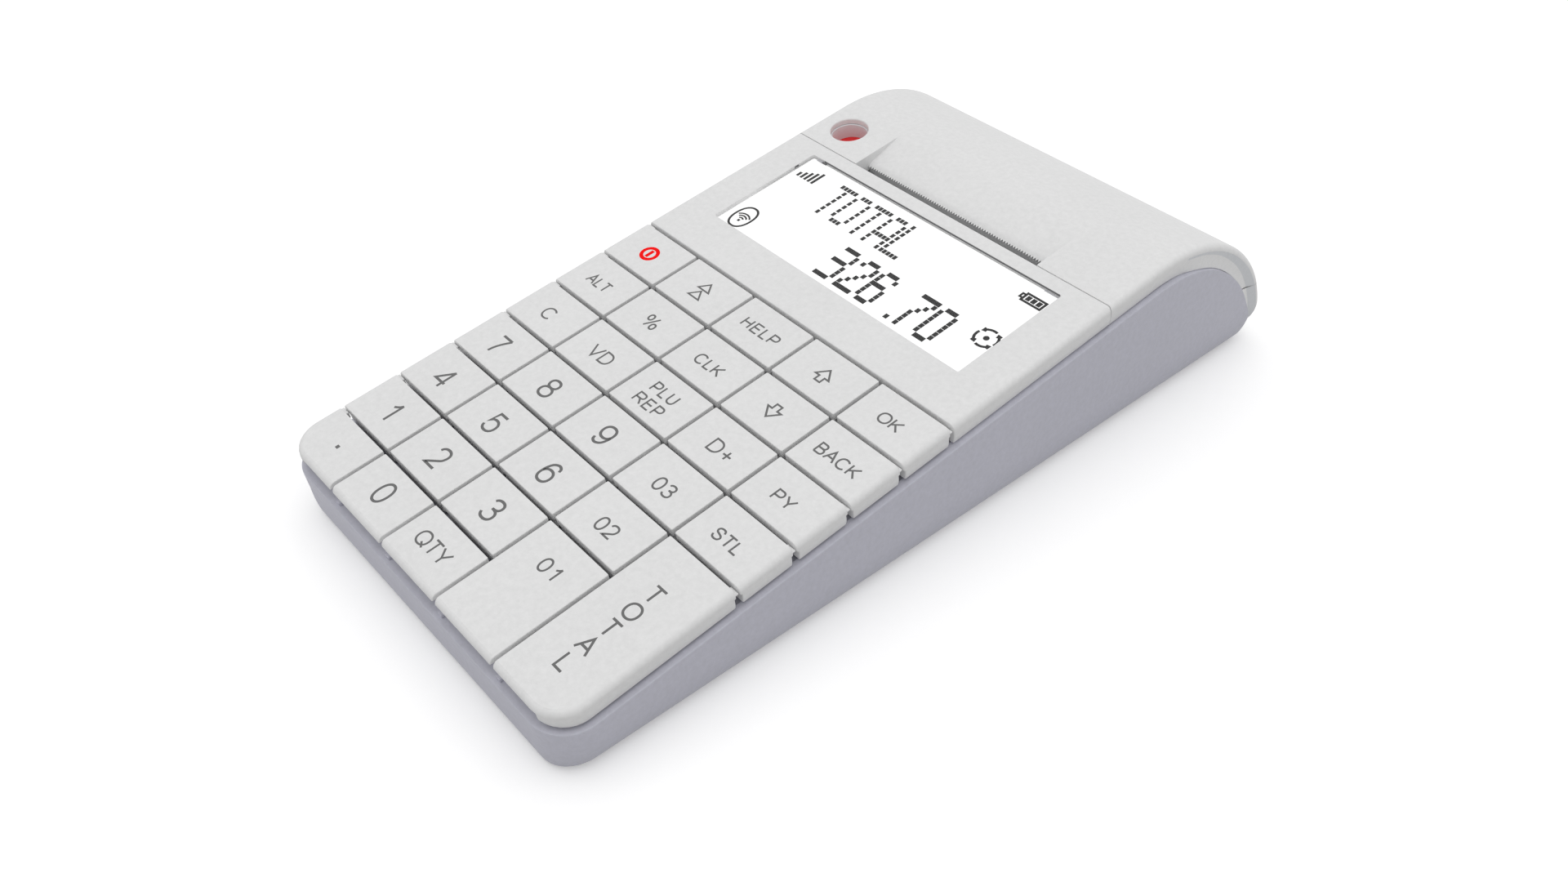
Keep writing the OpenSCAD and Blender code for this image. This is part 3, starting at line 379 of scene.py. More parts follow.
keys = {
    "height": 5.0, "topThickness": 1.6, "sideThickness": 1.2,
    "outerRound": 1.5, "innerRound": 0.22, "cornerRadius": 7.6, "smallCorner": 0.3,
    "undercut": 0.4, "undercutDepth": 2.0, "frontEase": 0.05, "backEase": 0.15, "sideEase": 0.06,
    "footInset": 0.33, "footRound": 2.0,
    "frontSkirt": 1.45, "frontSetBack": 2.8, "cornerRise": 0.62,
    # a tab's start and end from the key's outer side, its root in the key and its reach
    # over the gap, and its top and bottom at the left and at the right
    "tab": (0.25, 2.6, 0.5, 0.66), "tabHeights": {"left": (-0.8, -2.6), "right": (-1.3, -1.8)},
    "stemWidth": 7, "stemLength": 4.5, "stemTop": -1.2,
    "hookReach": 0.7, "hookTop": -7.55, "hookBottom": -8.95,
    # the names in each row, from the back; a key that is more rows deep stands in its back row
    "layout": ("power feed help up ok", "alt percent clerk down back", "clear void plu dept_plus payment",
               "seven eight nine dept_three subtotal", "four five six dept_two total",
               "one two three dept_one", "point zero quantity"),
    "deep": {"total": 3, "dept_one": 2},
}
# steps shared by keys and bezel: the foot's bevel, how fast the undercut and the front
# skirt's set-back come in, the flat inside the rounded edge, and the draft inside the wall
coverSteps = {"bevel": 0.12, "undercut": 0.12, "setBack": 0.15, "flat": 0.3, "draft": 0.02}


def coverDepths(sizes):
    # depths of the rings: close on the rounded edges and where an inset changes
    big, small, skirt = sizes["outerRound"], sizes["innerRound"], sizes["height"]
    return np.unique(np.concatenate([big * (1 - np.cos(np.radians(np.arange(0, 91, 10)))),
                                     small * (1 - np.cos(np.radians([30, 60, 90]))),
                                     sizes["frontSkirt"] + np.linspace(0, coverSteps["setBack"], 4),
                                     skirt - sizes["footRound"] * np.array([1, 0.75, 0.5, 0.25]),
                                     [sizes["undercutDepth"], sizes["undercutDepth"] + coverSteps["undercut"],
                                      skirt - coverSteps["bevel"], skirt]]))


def coverInsets(depth, outer, sizes):
    # How far each side has drawn in at each depth. An outer side has a large quarter-round
    # and draws in at its foot with the square of the way down there. A side with a
    # neighbour has a small quarter-round, an undercut and a little more gap.
    big, small, skirt, wall = (sizes[k] for k in ("outerRound", "innerRound", "height", "sideThickness"))
    foot = coverSteps["bevel"] * (depth > skirt - 0.01)
    near = np.clip((depth - skirt + sizes["footRound"]) / sizes["footRound"], 0, 1)
    outerInset = roundInset(depth, big) + foot + sizes["footInset"] * near ** 2
    under = smooth(depth, sizes["undercutDepth"], sizes["undercutDepth"] + coverSteps["undercut"])
    innerInset = roundInset(depth, small) + foot + sizes["undercut"] * under
    inside = [wall, wall + coverSteps["draft"]]
    outerInset = np.concatenate([[big + coverSteps["flat"]], outerInset, inside])
    innerInset = np.concatenate([[small + coverSteps["flat"]], innerInset, inside])
    ease = {"left": sizes["sideEase"], "right": sizes["sideEase"],
            "front": sizes["frontEase"], "back": sizes["backEase"]}
    inset = {side: outerInset if side in outer else innerInset + ease[side] for side in ease}
    if "front" in outer:
        inset["front"] = np.minimum(inset["front"], wall)
    return inset, outerInset


def coverRings(bounds, outer, cornerRadius, sizes):
    # Rings from the flat of the top over the edge, down the skirt and up inside it, each a
    # rounded rectangle drawn in from the bounds by the insets of its depth.
    depth = coverDepths(sizes)
    inset, outerInset = coverInsets(depth, outer, sizes)
    skirt = sizes["height"]
    depth = np.concatenate([[0], depth, [skirt, sizes["topThickness"]]])
    radii = []
    for a, b in (("left", "front"), ("right", "front"), ("right", "back"), ("left", "back")):
        both = a in outer and b in outer and cornerRadius
        radii.append(cornerRadius - outerInset if both else np.full(len(depth), sizes["smallCorner"]))
    left, right, front, back = bounds
    count = 9 if cornerRadius else 4
    plan = planRing(left + inset["left"], right - inset["right"],
                    front + inset["front"], back - inset["back"], radii, count)
    leftCorner, rightCorner = (bool(cornerRadius) and side in outer for side in ("left", "right"))
    if "front" in outer:
        # the short front skirt is set back, but runs down whole where it turns a corner
        here = np.ones(2 * count)
        if leftCorner:
            here[:count - 1] = 0
        if rightCorner:
            here[count + 1:] = 0
        came = smooth(depth, sizes["frontSkirt"], sizes["frontSkirt"] + coverSteps["setBack"])
        plan[:, :2 * count, 1] += sizes["frontSetBack"] * came[:, None] * here
    # the foot rises with the tray's rim round a front corner, so that the key can go down
    rise = np.zeros(plan.shape[1])
    turn = np.radians(np.linspace(0, 90, count))
    if leftCorner:
        rise[:count] = np.sin(turn) ** 2
    if rightCorner:
        rise[count:2 * count] = np.cos(turn) ** 2
    depth = depth[:, None] - sizes["cornerRise"] * smooth(depth, skirt / 2, skirt)[:, None] * rise
    return plan, depth


def keyBounds(column, row, rows):
    # left, right, front and back: the key's cells of the grid less half a gap all round
    left = (column - case["columns"] / 2) * case["columnPitch"] + case["gap"] / 2
    front = (case["rows"] - row) * case["rowPitch"] + case["gap"] / 2
    return (left, left + case["columnPitch"] - case["gap"],
            front, front + rows * case["rowPitch"] - case["gap"])


def keyStem(x, v, sizes):
    # the stem under a key, and the hook that keeps it in the deck, a touch shorter and
    # deeper so that no two faces lie in one plane
    halfW, halfL, hook = sizes["stemWidth"] / 2, sizes["stemLength"] / 2, sizes["hookReach"]
    return [blockPart(x - halfW, x + halfW, v - halfL, v + halfL, sizes["stemTop"], sizes["hookBottom"]),
            blockPart(x - halfW - hook, x + halfW + hook, v - halfL + 0.02, v + halfL - 0.02,
                      sizes["hookTop"], sizes["hookBottom"] - 0.01)]


def makeKey(name, column, row, rows):
    # row is the key's front row, and rows how many it covers
    atEdge = {"left": column == 0, "right": column == case["columns"] - 1, "front": row == case["rows"]}
    outer = [side for side, yes in atEdge.items() if yes]
    bounds = keyBounds(column, row, rows)
    corner = keys["cornerRadius"] if len(outer) == 2 else 0
    plan, depth = coverRings(bounds, outer, corner, keys)
    parts = [gridPart(slopePoints(plan[..., 0], plan[..., 1], -depth))]
    # a tab at the outer end of the gap behind the key closes it down to the undercut
    start, end, root, reach = keys["tab"]
    for side, edge, inward in (("left", bounds[0], 1), ("right", bounds[1], -1)):
        if side in outer:
            ends = sorted((edge + inward * start, edge + inward * end))
            parts.append(blockPart(*ends, bounds[3] - root, bounds[3] + reach, *keys["tabHeights"][side]))
    x = (bounds[0] + bounds[1]) / 2
    for index in range(rows):
        v = bounds[2] - case["gap"] / 2 + (index + 0.5) * case["rowPitch"]
        parts += keyStem(x, v, keys)
    makePiece("key_" + name + "_cap", parts, coverPlastic, "key_" + name, ["key_" + name])


for backRow, names in enumerate(keys["layout"], 1):
    for column, keyName in enumerate(names.split()):
        rows = keys["deep"].get(keyName, 1)
        makeKey(keyName, column, backRow + rows - 1, rows)
print("keys made")


def bow(x, y, halfWidth, halfHeight, start, end, count=16):
    # part of an oval that is a little fuller than an ellipse
    turn = np.radians(np.linspace(start, end, count))
    c, s = np.cos(turn), np.sin(turn)
    return np.stack([x + halfWidth * np.sign(c) * abs(c) ** 0.9,
                     y + halfHeight * np.sign(s) * abs(s) ** 0.9], -1).tolist()


def oval(x, y, halfWidth, halfHeight, count=30):
    # a closed oval, begun and ended at its top
    return bow(x, y, halfWidth, halfHeight, 90, 450, count)


def curve(points, steps=6):
    # a smooth line through the points, each stretch a cubic of four neighbours
    points = np.asarray(points, float)
    ends = np.vstack([2 * points[0] - points[1], points, 2 * points[-1] - points[-2]])
    a, b, c, d = ends[:-3, None], ends[1:-2, None], ends[2:-1, None], ends[3:, None]
    t = np.linspace(0, 1, steps, endpoint=False)[None, :, None]
    line = 0.5 * (2 * b + (c - a) * t + (2 * a - 5 * b + 4 * c - d) * t ** 2
                  + (3 * b - a - 3 * c + d) * t ** 3)
    return line.reshape(-1, 2).tolist() + [points[-1].tolist()]


sixLine = curve([(0.95, 0.79), (0.85, 0.94), (0.55, 1), (0.2, 0.87), (0.03, 0.6), (0, 0.38)]) + bow(
    0.5, 0.32, 0.5, 0.32, 180, 520, 26)
# Each letter's strokes on a box one wide and one high; a stroke that ends at its start closes.
glyphs = {
    "0": [oval(0.5, 0.5, 0.5, 0.5)],
    "1": [[(1, 0), (1, 1)], curve([(1, 1), (0.6, 0.84), (0, 0.71)])],
    "2": [bow(0.5, 0.72, 0.48, 0.28, 170, 0)
          + curve([(0.97, 0.66), (0.86, 0.47), (0.5, 0.27), (0.16, 0.09), (0.02, 0)]) + [(1, 0)]],
    "3": [bow(0.48, 0.77, 0.44, 0.23, 165, -90) + [(0.36, 0.54)],
          [(0.36, 0.54)] + bow(0.5, 0.27, 0.5, 0.27, 90, -165)],
    "4": [[(0.77, 0), (0.77, 1)], [(0.77, 1), (0, 0.28), (1, 0.28)]],
    "5": [[(0.93, 1), (0.2, 1), (0.06, 0.48)] + bow(0.49, 0.33, 0.51, 0.33, 122, -165)],
    "6": [sixLine],
    "7": [[(0, 1), (1, 1)], curve([(1, 1), (0.68, 0.67), (0.44, 0.32), (0.34, 0)])],
    "8": [oval(0.5, 0.77, 0.43, 0.23), oval(0.5, 0.27, 0.5, 0.27)],
    "9": [[(1 - x, 1 - y) for x, y in sixLine]],
    "A": [[(0, 0), (0.5, 1), (1, 0)], [(0.17, 0.34), (0.83, 0.34)]],
    "B": [[(0, 0), (0, 1), (0.55, 1)] + bow(0.55, 0.765, 0.38, 0.235, 80, -90) + [(0, 0.53)],
          [(0, 0.53), (0.6, 0.53)] + bow(0.6, 0.265, 0.4, 0.265, 80, -90) + [(0, 0)]],
    "C": [bow(0.52, 0.5, 0.52, 0.5, 42, 318, 26)],
    "D": [[(0, 0), (0, 1), (0.4, 1)] + bow(0.4, 0.5, 0.6, 0.5, 80, -80) + [(0.4, 0), (0, 0)]],
    "E": [[(1, 1), (0, 1), (0, 0), (1, 0)], [(0, 0.52), (0.92, 0.52)]],
    "H": [[(0, 0), (0, 1)], [(1, 0), (1, 1)], [(0, 0.53), (1, 0.53)]],
    "K": [[(0, 0), (0, 1)], [(0, 0.34), (0.97, 1)], [(0.33, 0.57), (1, 0)]],
    "L": [[(0, 1), (0, 0), (1, 0)]],
    "O": [oval(0.5, 0.5, 0.5, 0.5)],
    "P": [[(0, 0), (0, 1), (0.58, 1)] + bow(0.58, 0.72, 0.42, 0.28, 80, -90) + [(0, 0.44)]],
    "Q": [oval(0.5, 0.5, 0.5, 0.5), [(0.6, 0.26), (1, -0.04)]],
    "R": [[(0, 0), (0, 1), (0.56, 1)] + bow(0.56, 0.74, 0.38, 0.26, 80, -90) + [(0, 0.48)],
          curve([(0.42, 0.48), (0.62, 0.4), (1, 0)])],
    "S": [curve([(0.94, 0.74), (0.8, 0.94), (0.5, 1), (0.18, 0.93), (0.06, 0.75), (0.18, 0.6), (0.5, 0.52),
                 (0.86, 0.42), (0.98, 0.25), (0.82, 0.06), (0.5, 0), (0.17, 0.07), (0.01, 0.28)])],
    "T": [[(0, 1), (1, 1)], [(0.5, 1), (0.5, 0)]],
    "U": [[(0, 1), (0, 0.4)] + bow(0.5, 0.37, 0.5, 0.37, 185, 355) + [(1, 0.4), (1, 1)]],
    "V": [[(0, 1), (0.5, 0), (1, 1)]],
    "Y": [[(0, 1), (0.5, 0.42), (1, 1)], [(0.5, 0.42), (0.5, 0)]],
    "%": [oval(0.17, 0.76, 0.17, 0.24), oval(0.83, 0.24, 0.17, 0.24), [(0.24, 0), (0.76, 1)]],
    "+": [[(0, 0.42), (1, 0.42)], [(0.5, 0.08), (0.5, 0.76)]],
}
# ink width and advance of each letter, in heights of a capital
letterWidths = {
    "0": (0.66, 0.78), "1": (0.36, 0.78), "2": (0.66, 0.78), "3": (0.65, 0.78), "4": (0.7, 0.78),
    "5": (0.66, 0.78), "6": (0.66, 0.78), "7": (0.64, 0.78), "8": (0.67, 0.78), "9": (0.66, 0.78),
    "A": (0.92, 0.93), "B": (0.77, 0.93), "C": (0.9, 1.01), "D": (0.84, 1.01),
    "E": (0.74, 0.93), "H": (0.78, 1.01), "K": (0.83, 0.93), "L": (0.63, 0.78), "O": (0.98, 1.09),
    "P": (0.76, 0.93), "Q": (0.99, 1.09), "R": (0.88, 1.01), "S": (0.79, 0.93), "T": (0.8, 0.85),
    "U": (0.79, 1.01), "V": (0.91, 0.93), "Y": (0.91, 0.93), "%": (1.08, 1.24), "+": (0.68, 0.82),
}


def strokePart(points, width, low, high):
    # A flat ribbon: both edges stand half the width off the line along the mitre of
    # its two directions, and the ribbon is closed where its ends meet.
    points = np.asarray(points, float)
    closed = np.allclose(points[0], points[-1])
    points = points[:-1] if closed else points
    keep = np.linalg.norm(points - np.roll(points, 1, 0), axis=1) > 1e-4
    keep[0] = True
    points = points[keep]
    before, after = np.roll(points, 1, 0), np.roll(points, -1, 0)
    if not closed:
        before[0], after[-1] = 2 * points[0] - points[1], 2 * points[-1] - points[-2]
    into, out = points - before, after - points
    into /= np.linalg.norm(into, axis=1)[:, None]
    out /= np.linalg.norm(out, axis=1)[:, None]
    side = np.stack([-into[:, 1], into[:, 0]], -1)
    mitre = side + np.stack([-out[:, 1], out[:, 0]], -1)
    mitre /= np.linalg.norm(mitre, axis=1)[:, None]
    reach = width / 2 / np.maximum((mitre * side).sum(1), 0.4)
    a, b = points + mitre * reach[:, None], points - mitre * reach[:, None]
    rings = [slopePoints(p[:, 0], p[:, 1], n) for p, n in ((a, low), (b, low), (b, high), (a, high))]
    return gridPart(np.stack(rings, 1), closed)


# under the surface, over it, and how much higher each further stroke of a letter lies
inkHeights = {"under": 0.02, "over": 0.012, "layer": 0.002}


def inkPart(line, stroke, layer=0):
    # a printed stroke on the top of a key
    over = inkHeights["over"] + layer * inkHeights["layer"]
    return strokePart(line, stroke, -inkHeights["under"], over)


def textParts(text, x, v, capital, stroke, width):
    # letters set on their advances, stretched to the width, centred on x and v
    inks = np.array([letterWidths[c][0] for c in text])
    advances = np.array([letterWidths[c][1] for c in text])
    starts = np.concatenate([[0], np.cumsum(advances)[:-1]]) + (advances - inks) / 2
    starts = starts - starts[0]
    stretch = width / (starts[-1] + inks[-1])
    parts = []
    for letter, start, ink in zip(text, starts * stretch, inks * stretch):
        for index, line in enumerate(glyphs[letter]):
            line = np.asarray(line, float)
            placed = np.stack([x - width / 2 + start + stroke / 2 + line[:, 0] * (ink - stroke),
                               v - capital / 2 + stroke / 2 + line[:, 1] * (capital - stroke)], -1)
            parts.append(inkPart(placed, stroke, index))
    return parts


# height of a capital and stroke
legendStyles = {"digit": (6.1, 0.66), "word": (3.3, 0.46), "code": (3.9, 0.48), "number": (3.8, 0.48),
                "percent": (4.16, 0.48), "tall": (4.3, 0.56)}
legends = {
    # text, place on the slope, style and width
    "help": [("HELP", -0.15, 94.9, "word", 11.6)], "ok": [("OK", 41.83, 94.9, "word", 6.4)],
    "alt": [("ALT", -42.45, 79.9, "word", 7.8)], "percent": [("%", -21.46, 79.9, "percent", 4.5)],
    "clerk": [("CLK", -0.31, 79.9, "word", 8.7)], "back": [("BACK", 41.83, 79.9, "word", 12.2)],
    "clear": [("C", -42.45, 65.15, "code", 3.7)], "void": [("VD", -21.3, 65.15, "code", 7.5)],
    "plu": [("PLU", -0.47, 67.4, "word", 8.1), ("REP", -0.47, 62.85, "word", 9.1)],
    "dept_plus": [("D+", 21.98, 65.15, "code", 6.9)], "payment": [("PY", 41.83, 65.15, "word", 5.9)],
    "seven": [("7", -42.12, 50.66, "digit", 4.1)], "eight": [("8", -21.13, 50.66, "digit", 4.1)],
    "nine": [("9", 0.02, 50.66, "digit", 4.1)], "dept_three": [("03", 21.33, 50.34, "number", 5.9)],
    "subtotal": [("STL", 41.83, 50.34, "word", 8.0)],
    "four": [("4", -42.29, 35.86, "digit", 4.3)], "five": [("5", -21.3, 35.86, "digit", 4.1)],
    "six": [("6", 0.02, 35.86, "digit", 4.1)], "dept_two": [("02", 21.33, 35.53, "number", 5.9)],
    "one": [("1", -41.8, 21.71, "digit", 2.3)], "two": [("2", -21.3, 21.71, "digit", 4.1)],
    "three": [("3", 0.02, 21.71, "digit", 4.1)], "dept_one": [("01", 21.49, 21.22, "number", 5.4)],
    "zero": [("0", -21.3, 7.88, "digit", 4.1)], "quantity": [("QTY", -0.47, 7.56, "code", 10.9)],
    "total": [("T", 41.95, 31.96, "tall", 3.5), ("O", 41.95, 26.59, "tall", 4.1),
              ("T", 41.95, 21.22, "tall", 3.5), ("A", 41.95, 15.85, "tall", 4.0),
              ("L", 42.15, 10.65, "tall", 2.95)],
}
for keyName, lines in legends.items():
    parts = []
    for text, x, v, style, width in lines:
        parts += textParts(text, x, v, *legendStyles[style], width)
    makePiece("legend_" + keyName, parts, inkGrey, "key_" + keyName)

symbols = {
    "power": {"x": -41.96, "v": 94.9, "radius": 2.07, "bar": (-1.3, 1.3), "stroke": 0.98},
    "feed": {"x": -21.3, "half": 1.86, "rise": 2.5, "lows": (92.05, 95.15), "stroke": 0.46},
    "arrow": {"x": 21.17, "upV": 94.9, "downV": 80.1, "half": 2.1, "head": 2.6, "stemHalf": 0.82,
              "length": 4.15, "stroke": 0.48},
    "point": {"from": -41.62, "to": -40.68, "v": 7.56, "stroke": 0.94},
}


def arcLine(x, v, radius, turn):
    # points of a circle at the angles in radians
    return np.stack([x + radius * np.cos(turn), v + radius * np.sin(turn)], -1)


def powerMark(size):
    # a closed ring and a bar through its middle
    x, v = size["x"], size["v"]
    ring = arcLine(x, v, size["radius"], np.radians(np.linspace(90, 450, 49)))
    ring[-1] = ring[0]
    bar = [(x, v + size["bar"][0]), (x, v + size["bar"][1])]
    return [inkPart(ring, size["stroke"]), inkPart(bar, size["stroke"], 1)]


def triangleMarks(size):
    # two triangles, one above the other
    x, half, rise = size["x"], size["half"], size["rise"]
    return [inkPart([(x - half, low), (x, low + rise), (x + half, low), (x - half, low)], size["stroke"])
            for low in size["lows"]]


def arrowMark(size, v, way):
    # outline of a broad arrow, mirrored for the one that points down
    half, stem, head, long = size["half"], size["stemHalf"], size["head"], size["length"]
    shape = np.array([(-stem, 0), (-stem, long - head), (-half, long - head), (0, long), (half, long - head),
                      (stem, long - head), (stem, 0), (-stem, 0)])
    line = np.stack([size["x"] + shape[:, 0], v + way * (shape[:, 1] - long / 2)], -1)
    return [inkPart(line, size["stroke"])]


arrow, point = symbols["arrow"], symbols["point"]
pointMark = [inkPart([(point["from"], point["v"]), (point["to"], point["v"])], point["stroke"])]
makePiece("legend_power", powerMark(symbols["power"]), inkRed, "key_power")
makePiece("legend_feed", triangleMarks(symbols["feed"]), inkGrey, "key_feed")
makePiece("legend_up", arrowMark(arrow, arrow["upV"], 1), inkGrey, "key_up")
makePiece("legend_down", arrowMark(arrow, arrow["downV"], -1), inkGrey, "key_down")
makePiece("legend_point", pointMark, inkGrey, "key_point")
print("marks made")


bezel = {
    "height": 5.35, "topThickness": 1.8, "sideThickness": 1.2, "outerRound": 1.5, "innerRound": 0.25,
    "smallCorner": 0.3, "undercut": 0.0, "undercutDepth": 2.0, "frontEase": 0.0, "backEase": 0.0,
    "sideEase": 0.0, "footInset": 0.45, "footRound": 2.2, "frontSkirt": 1.5, "cornerRise": 0.0,
    "window": (-41.7, 41.7, 115.4, 148.75), "windowCorner": 0.4, "windowRound": 0.18,
    "postX": 47.98, "postInset": 4, "postRadius": 2.2, "postTop": -1.4, "postBottom": -6.0,
}


def makeBezel(sizes):
    # the cover's rings, then rings in to the window, up its wall and over its round edge
    bounds = (-case["coverHalf"], case["coverHalf"], case["bezelFront"], case["bezelBack"])
    plan, depth = coverRings(bounds, ("left", "right"), 0, sizes)
    left, right, front, back = sizes["window"]
    edge = sizes["windowRound"] * np.array([0, 0.13, 0.5, 1])
    grow = np.concatenate([[0], edge])
    holeDepth = np.concatenate([[sizes["topThickness"]], edge[::-1]])
    hole = planRing(left - grow, right + grow, front - grow, back + grow,
                    [sizes["windowCorner"] + grow] * 4, 4)
    plan = np.concatenate([plan, hole])
    depth = np.concatenate([depth, holeDepth[:, None] + 0 * hole[..., 0]])
    parts = [gridPart(slopePoints(plan[..., 0], plan[..., 1], -depth), closed=True)]
    profile = [(sizes["postTop"], sizes["postRadius"]), (sizes["postBottom"], sizes["postRadius"])]
    for x in (-sizes["postX"], sizes["postX"]):
        for v in (case["bezelFront"] + sizes["postInset"], case["bezelBack"] - sizes["postInset"]):
            parts.append(drumPart(profile, lambda n, a, b, x=x, v=v: slopePoints(x + a, v + b, n), 24))
    makePiece("bezel_shell", parts, coverPlastic, "case", ["display_bezel"])


makeBezel(bezel)

trim = {
    # left, right, front, back, top and bottom on the slope, with the finish
    # painted shadow: a dark strip along the window's rear wall, where the recess casts its shade
    "shadow_strip": ((-37.4, 41.3, 148.6, 148.8, -0.03, -0.42), shadowAndTrimDark),
    "clip_right": ((37.3, 41.5, 147.95, 148.4, -0.45, -0.59), clipGrey),
    "clip_left": ((-39.7, -37.9, 148.0, 148.8, -0.4, -0.59), clipGrey),
    "clip_dark": ((-37.85, -36.3, 148.0, 148.56, -0.33, -0.58), shadowAndTrimDark),
    "tick": ((-41.72, -41.5, 142.1, 143.4, -0.1, -0.58), shadowAndTrimDark),
}
for trimName, (edges, finish) in trim.items():
    makePiece("window_" + trimName, [blockPart(*edges, radius=0.04)], finish, "case")

screen = {
    # how deep the display glass lies, how the signs' ink stands on it, and a shift of them all
    "depth": 1.79, "shift": (-1.1, 0.77), "over": 0.02, "under": 0.02, "round": 0.008,
    "word": {"text": "TOTAL", "x": -25.64, "v": 144.36, "advance": 6.24,
             "columnPitch": 1.166, "rowPitch": -1.807, "dot": (1.0, 1.38)},
    "number": {"v": 128.36, "columnPitch": 1.1, "rowPitch": -1.526, "dot": (1.16, 1.42),
               "starts": {-6.65: "3", 0.2: "2", 6.55: "6", 12.95: ".", 19.2: "7", 25.55: "0"}},
    "bars": {"x": -38.5, "pitch": 1.33, "width": 0.82, "bottom": 140.07,
             "tops": (141.8, 142.6, 143.4, 144.15, 144.95)},
    "battery": {"edges": (35.95, 41.5, 142.1, 144.7), "stroke": 0.66,
                "cap": (35.75, 35.0, 142.75, 144.05), "capStroke": 0.58,
                "cells": (37.2, 38.75, 40.3), "cellV": 143.4, "cell": (1.22, 1.6)},
    "arrows": {"x": 39.15, "v": 127.39, "radius": 2.85, "starts": (-16, 74, 164, 254), "sweep": 64,
               "stroke": 0.7, "tip": 0.16, "barb": 0.1, "barbRadii": (2.3, 3.45), "barbStroke": 0.56,
               "spot": 0.38, "spotStroke": 0.74},
    "waves": {"x": -35.72, "oval": (119.69, 2.82, 4.1), "ovalStroke": 0.62, "v": 118.3,
              "radii": (0.9, 1.75, 2.6), "span": (38, 142), "stroke": 0.48, "spot": (118.1, 0.75)},
}
# lit dots of each row, from the top
wordDots = {
    "T": ["11111", "00100", "00100", "00100", "00100", "00100", "00100"],
    "O": ["01110", "10001", "10001", "10001", "10001", "10001", "01110"],
    "A": ["01110", "10001", "10001", "10001", "11111", "10001", "10001"],
    "L": ["10000", "10000", "10000", "10000", "10000", "10000", "11111"],
}
numberDots = {
    "3": ["11110", "00001", "00001", "11110", "00001", "00001", "00001", "11110"],
    "2": ["01110", "10001", "00001", "00010", "00100", "01000", "10000", "11111"],
    "6": ["01110", "10001", "10000", "11110", "10001", "10001", "10001", "01110"],
    ".": ["00000", "00000", "00000", "00000", "00000", "00000", "00000", "00001"],
    "7": ["11111", "00001", "00010", "00100", "01000", "01000", "01000", "01000"],
    "0": ["01110", "10001", "10001", "10001", "10001", "10001", "10001", "01110"],
}


def inkBlock(x, v, width, length):
    # a small printed block on the display glass
    x, v = x + screen["shift"][0], v + screen["shift"][1]
    return blockPart(x - width / 2, x + width / 2, v - length / 2, v + length / 2,
                     -screen["depth"] + screen["over"], -screen["depth"] - screen["under"],
                     radius=screen["round"])


def screenLine(points, width):
    # a printed stroke on the display glass
    points = np.asarray(points, float) + screen["shift"]
    return strokePart(points, width, -screen["depth"] - screen["under"], -screen["depth"] + screen["over"])


def dotParts(rows, x, v, size):
    # the lit dots of a letter, each on its column and row
    return [inkBlock(x + column * size["columnPitch"], v + row * size["rowPitch"], *size["dot"])
            for row, line in enumerate(rows) for column, lit in enumerate(line) if lit == "1"]


def barParts(size):
    # signal bars, each from the same foot to its own top
    low = size["bottom"]
    return [inkBlock(size["x"] + size["pitch"] * index, (top + low) / 2, size["width"], top - low)
            for index, top in enumerate(size["tops"])]


def batteryParts(size):
    # a box, the three sides of its cap and the cells inside
    left, right, low, high = size["edges"]
    near, far, capLow, capHigh = size["cap"]
    box = [(left, low), (right, low), (right, high), (left, high), (left, low)]
    cap = [(near, capLow), (far, capLow), (far, capHigh), (near, capHigh)]
    parts = [screenLine(box, size["stroke"]), screenLine(cap, size["capStroke"])]
    return parts + [inkBlock(x, size["cellV"], *size["cell"]) for x in size["cells"]]


def arrowParts(size):
    # arrows round a point: each an arc and the two barbs at its end
    x, v, radius = size["x"], size["v"], size["radius"]
    inner, outer = size["barbRadii"]
    parts = []
    for start in size["starts"]:
        turn = np.radians(np.linspace(0, size["sweep"], 14)) + math.radians(start)
        parts.append(screenLine(arcLine(x, v, radius, turn), size["stroke"]))
        back, tip = turn[-1] - size["barb"], turn[-1] + size["tip"]
        barbs = [arcLine(x, v, r, t) for r, t in ((inner, back), (radius, tip), (outer, back))]
        parts.append(screenLine(barbs, size["barbStroke"]))
    spot = arcLine(x, v, size["spot"], np.radians(np.linspace(0, 360, 25)))
    return parts + [screenLine(spot, size["spotStroke"])]


def waveParts(size):
    # generic radio waves over a spot, in an upright oval
    parts = [screenLine(oval(size["x"], *size["oval"], 48), size["ovalStroke"])]
    turn = np.radians(np.linspace(*size["span"], 14))
    for radius in size["radii"]:
        parts.append(screenLine(arcLine(size["x"], size["v"], radius, turn), size["stroke"]))
    spotV, side = size["spot"]
    return parts + [inkBlock(size["x"], spotV, side, side)]


def makeScreen(sizes):
    # the word, the number and the signs, all in one piece
    word, number = sizes["word"], sizes["number"]
    parts = []
    for index, letter in enumerate(word["text"]):
        parts += dotParts(wordDots[letter], word["x"] + index * word["advance"], word["v"], word)
    for x, digit in number["starts"].items():
        parts += dotParts(numberDots[digit], x, number["v"], number)
    parts += barParts(sizes["bars"]) + batteryParts(sizes["battery"])
    parts += arrowParts(sizes["arrows"]) + waveParts(sizes["waves"])
    makePiece("display_segments", parts, segmentInk, "case")


makeScreen(screen)
print("display made")

